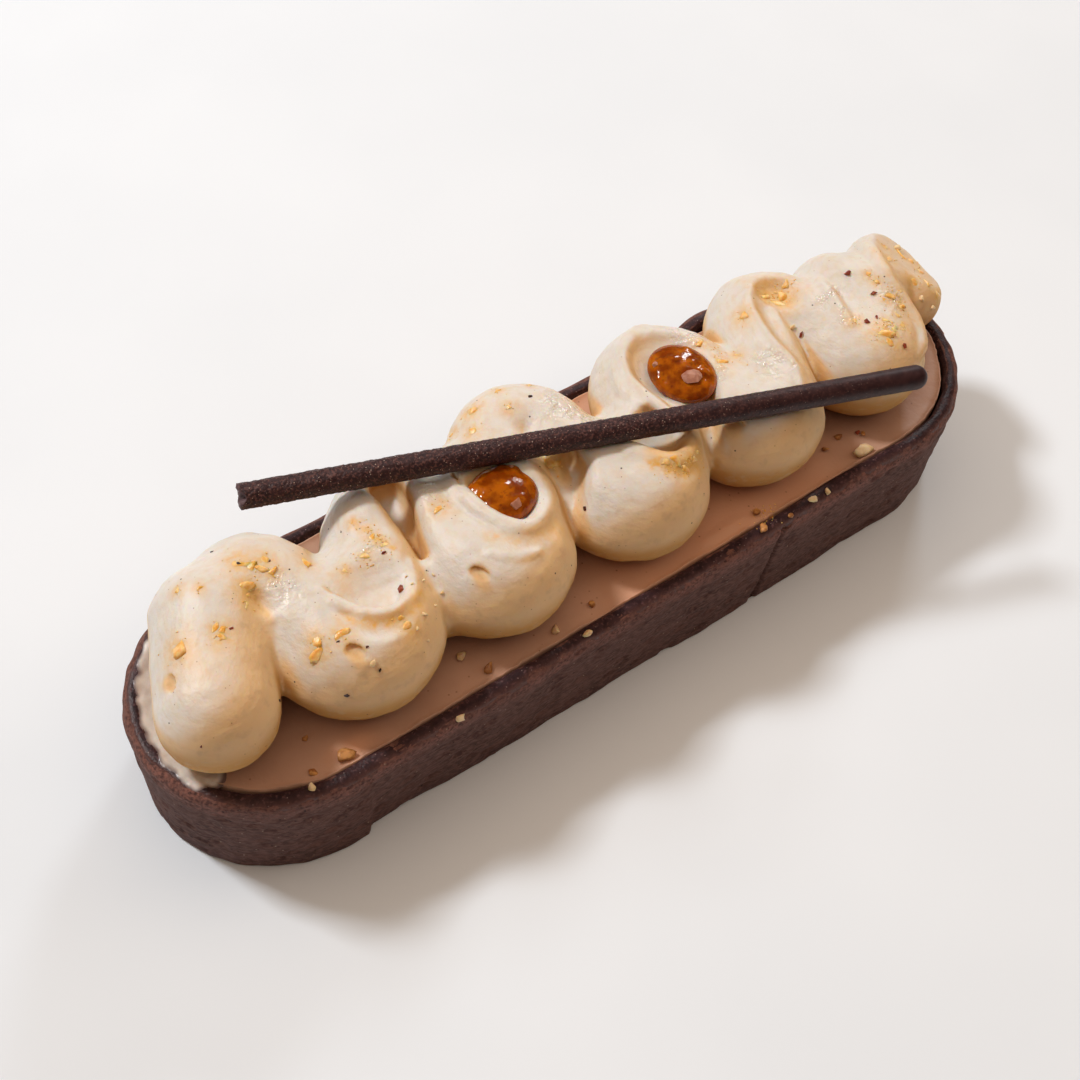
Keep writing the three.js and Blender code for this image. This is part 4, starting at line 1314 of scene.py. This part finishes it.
# Crumbs: praline crushed over the top and stuck where it fell. Golden grains of caramelised hazelnut,
# pale bare nut, dark red-brown flakes of nut skin and cocoa specks, with golden dust round the grains.
# Each is a place in plan and a size. On the near side they lie where the photo shows them.
GOLDEN = [
    (-55.4, 1.7, 1.7), (-50.8, 0.1, 1.3), (-50.3, 0.9, 1.0), (-45.2, 5.0, 1.5), (-41.5, 6.9, 1.3),
    (-42.4, 6.0, 1.0), (-41.9, -4.8, 1.2), (-42.4, -6.2, 1.4), (-39.4, -6.1, 1.3), (-28.9, 3.7, 0.9),
    (-32.3, -9.0, 1.3), (-19.8, 2.8, 1.2), (-10.9, 13.1, 1.2), (-9.7, 10.5, 1.1), (-7.8, 13.7, 1.6),
    (31.3, 6.5, 1.4), (37.2, 8.4, 1.3), (39.4, 7.4, 1.7), (44.7, -6.0, 1.9), (44.9, -7.8, 1.3),
    (61.3, 2.0, 1.3), (-50.9, 1.5, 0.8), (-41.6, 5.0, 1.0), (-37.2, 4.5, 0.9), (-29.6, 6.9, 0.6),
    (-28.4, 1.9, 0.8), (-32.5, -7.9, 0.7), (-3.3, 14.2, 0.8), (-4.1, 10.7, 1.0), (51.0, -1.7, 1.1),
    (8.0, -7.8, 1.2), (9.1, -9.1, 1.0), (23.8, 6.3, 1.05), (23.9, 2.2, 1.2), (26.7, 2.2, 0.9),
    (43.1, -2.4, 1.1), (-46.0, 3.0, 0.8), (-51.7, 8.5, 0.8), (-49.8, 6.9, 0.7), (-31.1, 1.7, 0.8),
    (-34.1, 1.4, 0.8), (0.9, 12.9, 0.6), (50.5, 2.8, 0.8), (51.1, -3.6, 1.1), (10.8, -8.2, 1.1),
    (12.2, -7.4, 0.9), (6.8, -7.4, 0.8), (-3.6, 1.6, 1.3), (38.2, 6.2, 1.0), (40.6, 8.6, 1.1),
    (47.0, -6.4, 1.0), (46.6, -4.6, 0.9), (49.2, -4.8, 0.9), (50.6, 1.2, 0.9), (-44.1, 8.1, 1.5),
    (-43.3, 6.8, 1.2), (-45.2, 4.0, 0.9), (52.4, -1.5, 0.8), (58.3, 7.0, 1.0), (56.3, 4.2, 1.2),
    (57.4, 0.1, 1.2), (60.8, 4.7, 0.9), (59.8, -0.3, 1.0), (46.9, -6.4, 1.2), (48.6, -6.2, 1.0),
    (62.0, 4.6, 1.4), (60.6, -2.5, 1.2), (49.4, -1.8, 0.9),
]
PALE = [
    (-25.3, -10.1, 1.3), (-13.5, -13.6, 1.2), (38.5, -13.8, 1.9), (-49.3, -15.3, 1.0),
    (-30.5, -16.9, 1.2), (-10.9, -16.4, 1.3), (26.1, -16.4, 1.2), (28.7, -16.5, 1.2), (-38.0, -10.6, 0.9),
    (36.4, 2.2, 0.9), (-28.6, -3.2, 0.4), (-26.9, -4.2, 0.45), (-25.2, -3.9, 0.4), (-25.4, -6.1, 0.55),
    (-29.6, -8.5, 0.7), (-31.3, -9.6, 0.5), (-30.7, -10.9, 0.4), (-27.3, -7.4, 0.4), (-28.6, -4.6, 0.45),
    (61.1, 6.9, 1.2), (57.4, -2.0, 0.8), (58.8, -3.2, 0.9),
]
BROWN_GRAINS = [
    (-48.2, -13.2, 1.1), (-23.5, -13.5, 1.4), (-7.4, -12.9, 1.3), (19.2, -13.6, 1.5), (36.8, -10.1, 1.2),
    (-46.6, -9.1, 0.9), (17.9, -16.3, 1.5), (22.2, -16.7, 0.8), (20.6, -15.0, 1.1), (-44.0, -13.5, 2.3),
    (33.8, -10.6, 1.1), (40.2, -11.4, 0.9),
]
FLAKES = [
    (-29.8, -4.1, 1.4), (48.4, 4.8, 1.5), (48.8, -0.1, 1.3), (44.5, -3.4, 1.5), (-29.1, 0.8, 0.8),
    (37.0, 0.8, 1.1), (-49.3, 0.7, 0.7), (-58.7, -8.5, 0.5), (46.1, -3.6, 0.8), (46.4, -8.9, 1.1),
    (39.6, -10.9, 1.2),
]
SPECKS = [
    (-44.1, 7.9, 0.8), (-48.3, -7.2, 0.7), (-0.7, 10.7, 0.8), (-41.8, -11.1, 0.9), (-4.0, -5.6, 1.0),
    (-40.0, -6.6, 0.6), (-37.7, -9.0, 0.6), (-37.6, -11.5, 0.6), (-45.5, 12.0, 0.6), (-41.0, 6.4, 0.5),
]
# Where dust lies thickest: a place in plan, its spread and the number of grains
DUST_SMEARS = [
    ((-28.8, 3.4), (1.2, 3.4), 45), ((8.6, -8.4), (3.4, 0.9), 70), ((24.8, 3.6), (1.8, 2.6), 30),
    ((46.0, -5.8), (2.6, 1.8), 60), ((38.6, 7.8), (2.4, 2.0), 50), ((-31.6, 1.4), (1.6, 1.4), 16),
    ((51.4, -1.4), (1.0, 3.0), 30), ((19.6, -14.6), (2.6, 1.6), 60),
]
DUST_SIZES = (0.12, 0.32)
# Looks: dark and light colour, roughness, and how much light goes through
CRUMB_LOOKS = {
    "golden_praline": ((0.84, 0.42, 0.075), (0.93, 0.64, 0.28), 0.3, 0.6),
    "pale_nut": ((0.72, 0.52, 0.27), (0.85, 0.68, 0.42), 0.5, 0.3),
    "toasted_nut": ((0.30, 0.12, 0.035), (0.60, 0.30, 0.10), 0.45, 0.2),
    "nut_skin": ((0.13, 0.016, 0.009), (0.34, 0.065, 0.025), 0.35, 0.1),
    "cocoa_specks": ((0.03, 0.012, 0.010), (0.08, 0.03, 0.022), 0.5, 0.0),
}
# Kinds: piece, places (none for dust), shape, look, slot, seed, share sunk in, and how finely rounded
CRUMBS = [
    ("golden_grains", GOLDEN, (1.8, 1.5, 0.9), "golden_praline", "caramel", 11, 0.74, 3),
    ("golden_dust", None, (1.0, 0.9, 0.6), "golden_praline", "caramel", 12, 0.3, 1),
    ("pale_grains", PALE, (1.15, 0.95, 0.8), "pale_nut", "caramel", 13, 0.22, 3),
    ("toasted_grains", BROWN_GRAINS, (1.1, 1.0, 0.65), "toasted_nut", "caramel", 14, 0.22, 3),
    ("skin_flakes", FLAKES, (1.0, 0.7, 0.45), "nut_skin", "caramel", 15, 0.3, 0),
    ("cocoa_specks", SPECKS, (1.0, 0.6, 0.5), "cocoa_specks", "chocolate", 16, 0.35, 0),
]
DUST_ROUND_GRAINS = 4
DUST_ROUND_SIZES = (0.15, 0.35)
DUST_ROUND_REACH = 0.7
SIZE_SPREAD = (0.85, 1.1)
# Worn crumbs: how many flats they are ground to, how far out those lie, how crisp their edges are
WORN_FLATS = 13
FLATS_OUT = (0.6, 1.0)
WORN_CRISP = 14
WORN_RADIUS = 0.42
STAIN_REACH = 1.35
STAIN_STRENGTH = 0.75
# Smears of golden syrup and dust, and painted amber shade under two rolled lips and in one crease:
# a line in plan, its reach and its strength
SMEARS_AND_SHADE = [
    ([(-29.6, 6.9), (-28.9, 4.6), (-28.3, 2.3), (-27.6, 0.5)], 1.0, 0.95),
    ([(-31.6, 2.0), (-31.5, 0.5)], 1.0, 0.3), ([(-35.7, 1.6), (-35.0, -0.1)], 0.8, 0.4),
    ([(5.6, -6.7), (6.3, -7.9), (8.0, -9.0), (10.3, -8.6)], 1.1, 1.2),
    ([(22.5, 4.7), (24.2, 5.4), (26.1, 3.2), (26.2, 0.1)], 0.6, 0.5), ([(23.9, -0.1)], 0.8, 0.4),
    ([(36.8, 10.3), (39.7, 9.5), (41.0, 6.8)], 1.9, 0.45),
    ([(36.5, 7.8), (39.1, 6.6), (37.6, 4.6)], 1.4, 0.6),
    ([(55.0, 5.7), (52.3, -0.2), (50.9, -3.3), (51.5, -5.7)], 1.2, 0.6),
    ([(45.6, -5.2), (45.2, -7.2)], 1.5, 0.9), ([(42.4, -6.7), (45.9, -8.6)], 1.3, 0.25),
    ([(58.0, 3.0), (56.8, -0.4)], 1.0, 0.35),
    # Painted shade: the next two lines lie in the tucks under the rolled lips at x -38 to -28 and x -17 to
    # -9
    ([(-37.9, -4.2), (-35.7, -6.9), (-32.6, -8.3), (-29.9, -7.4), (-28.4, -5.6)], 0.9, 0.9),
    ([(-17.4, -4.4), (-15.4, -6.8), (-11.6, -7.8), (-9.0, -6.9)], 0.9, 0.6),
    ([(-46.0, 5.4), (-43.0, 7.4)], 1.2, 0.3), ([(-52.0, 1.8), (-50.0, 0.2)], 1.0, 0.35),
    # Painted shade: the first smear on the next line lies in the shaded crease right of the crest at x 32
    # to 34
    ([(34.4, 4.8), (33.8, 0.2), (33.6, -3.4)], 0.8, 0.35), ([(-12.2, 13.4), (-9.0, 11.4)], 1.2, 0.25),
    ([(-5.4, 10.8), (-3.0, 9.8)], 1.0, 0.35),
]


def crumb_look(name, low, high, rough, glow):
    """Cloudy broken nut between two colours; glow is how much light goes through it."""
    material, tree = start_material(name, Roughness=rough, Specular_IOR_Level=0.5, Subsurface_Weight=glow,
                                    Subsurface_Scale=0.4 * mm, Subsurface_Radius=(1.0, 0.45, 0.12))
    colour = blend(tree, ramp(tree, grain(tree, 0.9), 0.35, 0.65), low, high)
    return dress(material, colour, [(grain(tree, 0.22, detail=2.0), 0.04)])


ground = tree_of("shell", "chocolate_lining", "filling", "cream", "cream_smear")


def settled(x, y):
    """Where something dropped at a place in plan comes to rest, and which way is up there."""
    spot, up, *_ = ground.ray_cast(Vector((x, y, DROP_FROM)) * mm, Vector((0, 0, -1)))
    return np.array(spot) / mm, up


def worn_chunk(random, size, detail):
    """One crumb with its corners rounded off, as points and faces round the origin."""
    mesh = bmesh.new()
    bmesh.ops.create_icosphere(mesh, subdivisions=detail, radius=1.0)
    mesh.verts.index_update()
    ways = np.array([v.co[:] for v in mesh.verts])
    faces = [[v.index for v in face.verts] for face in mesh.faces]
    mesh.free()
    flats = random.normal(size=(WORN_FLATS, 3))
    flats /= np.linalg.norm(flats, axis=1)[:, None]
    near = np.maximum(ways @ flats.T / random.uniform(*FLATS_OUT, WORN_FLATS), 0)
    out = 1 / (near**WORN_CRISP).sum(1) ** (1 / WORN_CRISP)
    return WORN_RADIUS * ways * out[:, None] * size, faces


def scatter(name, places, shape, material, slot, seed, sink, worn):
    """All the crumbs of one kind as one mesh, each with its own broken shape, turned its own way."""
    random = np.random.default_rng(seed)
    crumbs = []
    for x, y, size in places:
        spot, up = settled(x, y)
        sizes = size * np.array(shape) * random.uniform(*SIZE_SPREAD, 3)
        points, faces = worn_chunk(random, sizes, worn) if worn else chunk(random, sizes)
        spin = Matrix.Rotation(random.uniform(0, 2 * math.pi), 3, "Z")
        turn = np.array(up.to_track_quat("Z", "Y").to_matrix() @ spin)
        crumbs.append((points @ turn.T + spot + np.array(up) * size * shape[2] * (0.5 - sink), faces))
    make_piece(name, *as_one(crumbs), material, slot, flat=not worn)


def dust_places(seed):
    """Dust in the smears, and a few grains of it round each golden crumb."""
    random = np.random.default_rng(seed)
    places = []
    for (x, y), (along, across), count in DUST_SMEARS:
        for _ in range(count):
            places.append((x + 0.5 * along * random.normal(), y + 0.5 * across * random.normal(),
                           random.uniform(*DUST_SIZES)))
    for x, y, size in GOLDEN:
        for _ in range(DUST_ROUND_GRAINS):
            reach = DUST_ROUND_REACH * size
            places.append((x + reach * random.normal(), y + reach * random.normal(),
                           random.uniform(*DUST_ROUND_SIZES)))
    return places


looks = {name: crumb_look(name, *numbers) for name, numbers in CRUMB_LOOKS.items()}
for name, places, shape, look, slot, seed, sink, worn in CRUMBS:
    scatter(name, places or dust_places(seed), shape, looks[look], slot, seed, sink, worn)

# Golden crumbs stain the cream they stick to, syrup is smeared here and there, and three of the smears are
# painted amber shade
stain_and_shade = np.zeros(len(cream_points))
blotchy = 0.75 + 0.6 * lumps(cream_points, 0.9, 3.0)
for x, y, size in GOLDEN:
    spot, _ = settled(x, y)
    away = np.linalg.norm(cream_points - spot, axis=1) / (STAIN_REACH * size)
    stain_and_shade = np.maximum(stain_and_shade, np.exp(-away**2) * STAIN_STRENGTH)
for line, reach, strength in SMEARS_AND_SHADE:
    away = near_line(cream_points, line) / reach
    stain_and_shade = np.maximum(stain_and_shade, np.exp(-away**2) * strength * blotchy * (cream_points[:, 2] > MARKS_FROM))
cream.data.attributes["stain_and_shade"].data.foreach_set("value", np.clip(stain_and_shade, 0, 1).astype(np.float32))


# Studio: a plain pale table, a white window light from behind on the left, a small cool lamp from
# behind on the right, and wide warm light from above and from the right.
FLOOR_SIZE = 4000.0
TABLE_GREY = (0.80, 0.875, 0.955)
TABLE_WHITE = (0.83, 0.905, 0.985)


def studio_floor():
    material, tree = start_material("pale_table", Roughness=0.9, Specular_IOR_Level=0.1)
    dress(material, blend(tree, ramp(tree, grain(tree, 60.0), 0.3, 0.7), TABLE_GREY, TABLE_WHITE), [])
    half = FLOOR_SIZE / 2 * mm
    mesh = bpy.data.meshes.new("table")
    corners = [(-half, -half, 0), (half, -half, 0), (half, half, 0), (-half, half, 0)]
    mesh.from_pydata(corners, [], [(0, 1, 2, 3)])
    mesh.materials.append(material)
    table = bpy.data.objects.new("table", mesh)
    bpy.context.scene.collection.objects.link(table)


def studio_light(name, azimuth, elevation, distance, size, power, colour):
    """Square soft light aimed at the tart; azimuth 0 stands on the -Y side and 90 on the +X side."""
    turn, rise = math.radians(azimuth), math.radians(elevation)
    towards = Vector((math.sin(turn) * math.cos(rise), -math.cos(turn) * math.cos(rise), math.sin(rise)))
    data = bpy.data.lights.new(name, "AREA")
    data.size = size * mm
    data.energy = power
    data.color = colour
    lamp = bpy.data.objects.new(name, data)
    lamp.rotation_mode = "QUATERNION"
    lamp.rotation_quaternion = towards.to_track_quat("Z", "Y")
    lamp.location = (towards * distance + Vector((0, 0, 20))) * mm
    bpy.context.scene.collection.objects.link(lamp)
    return lamp


studio_floor()
studio_light("window", 212, 50, 900, 130, 4.8, (1.0, 1.0, 1.0))
ceiling = studio_light("ceiling", 0, 90, 800, 1300, 5.0, (1.0, 0.74, 0.54))
studio_light("side_lamp", 126, 33, 900, 150, 1.5, (0.94, 0.98, 1.0))
right_wall = studio_light("right_wall", 75, 30, 900, 500, 1.3, (1.0, 0.82, 0.68))
ceiling.visible_glossy = right_wall.visible_glossy = False
world = bpy.data.worlds.new("pale_room")
world.use_nodes = True
world.node_tree.nodes["Background"].inputs["Color"].default_value = (1.0, 0.86, 0.76, 1)
world.node_tree.nodes["Background"].inputs["Strength"].default_value = 0.05
bpy.context.scene.world = world
bpy.context.scene.view_settings.view_transform = "Standard"
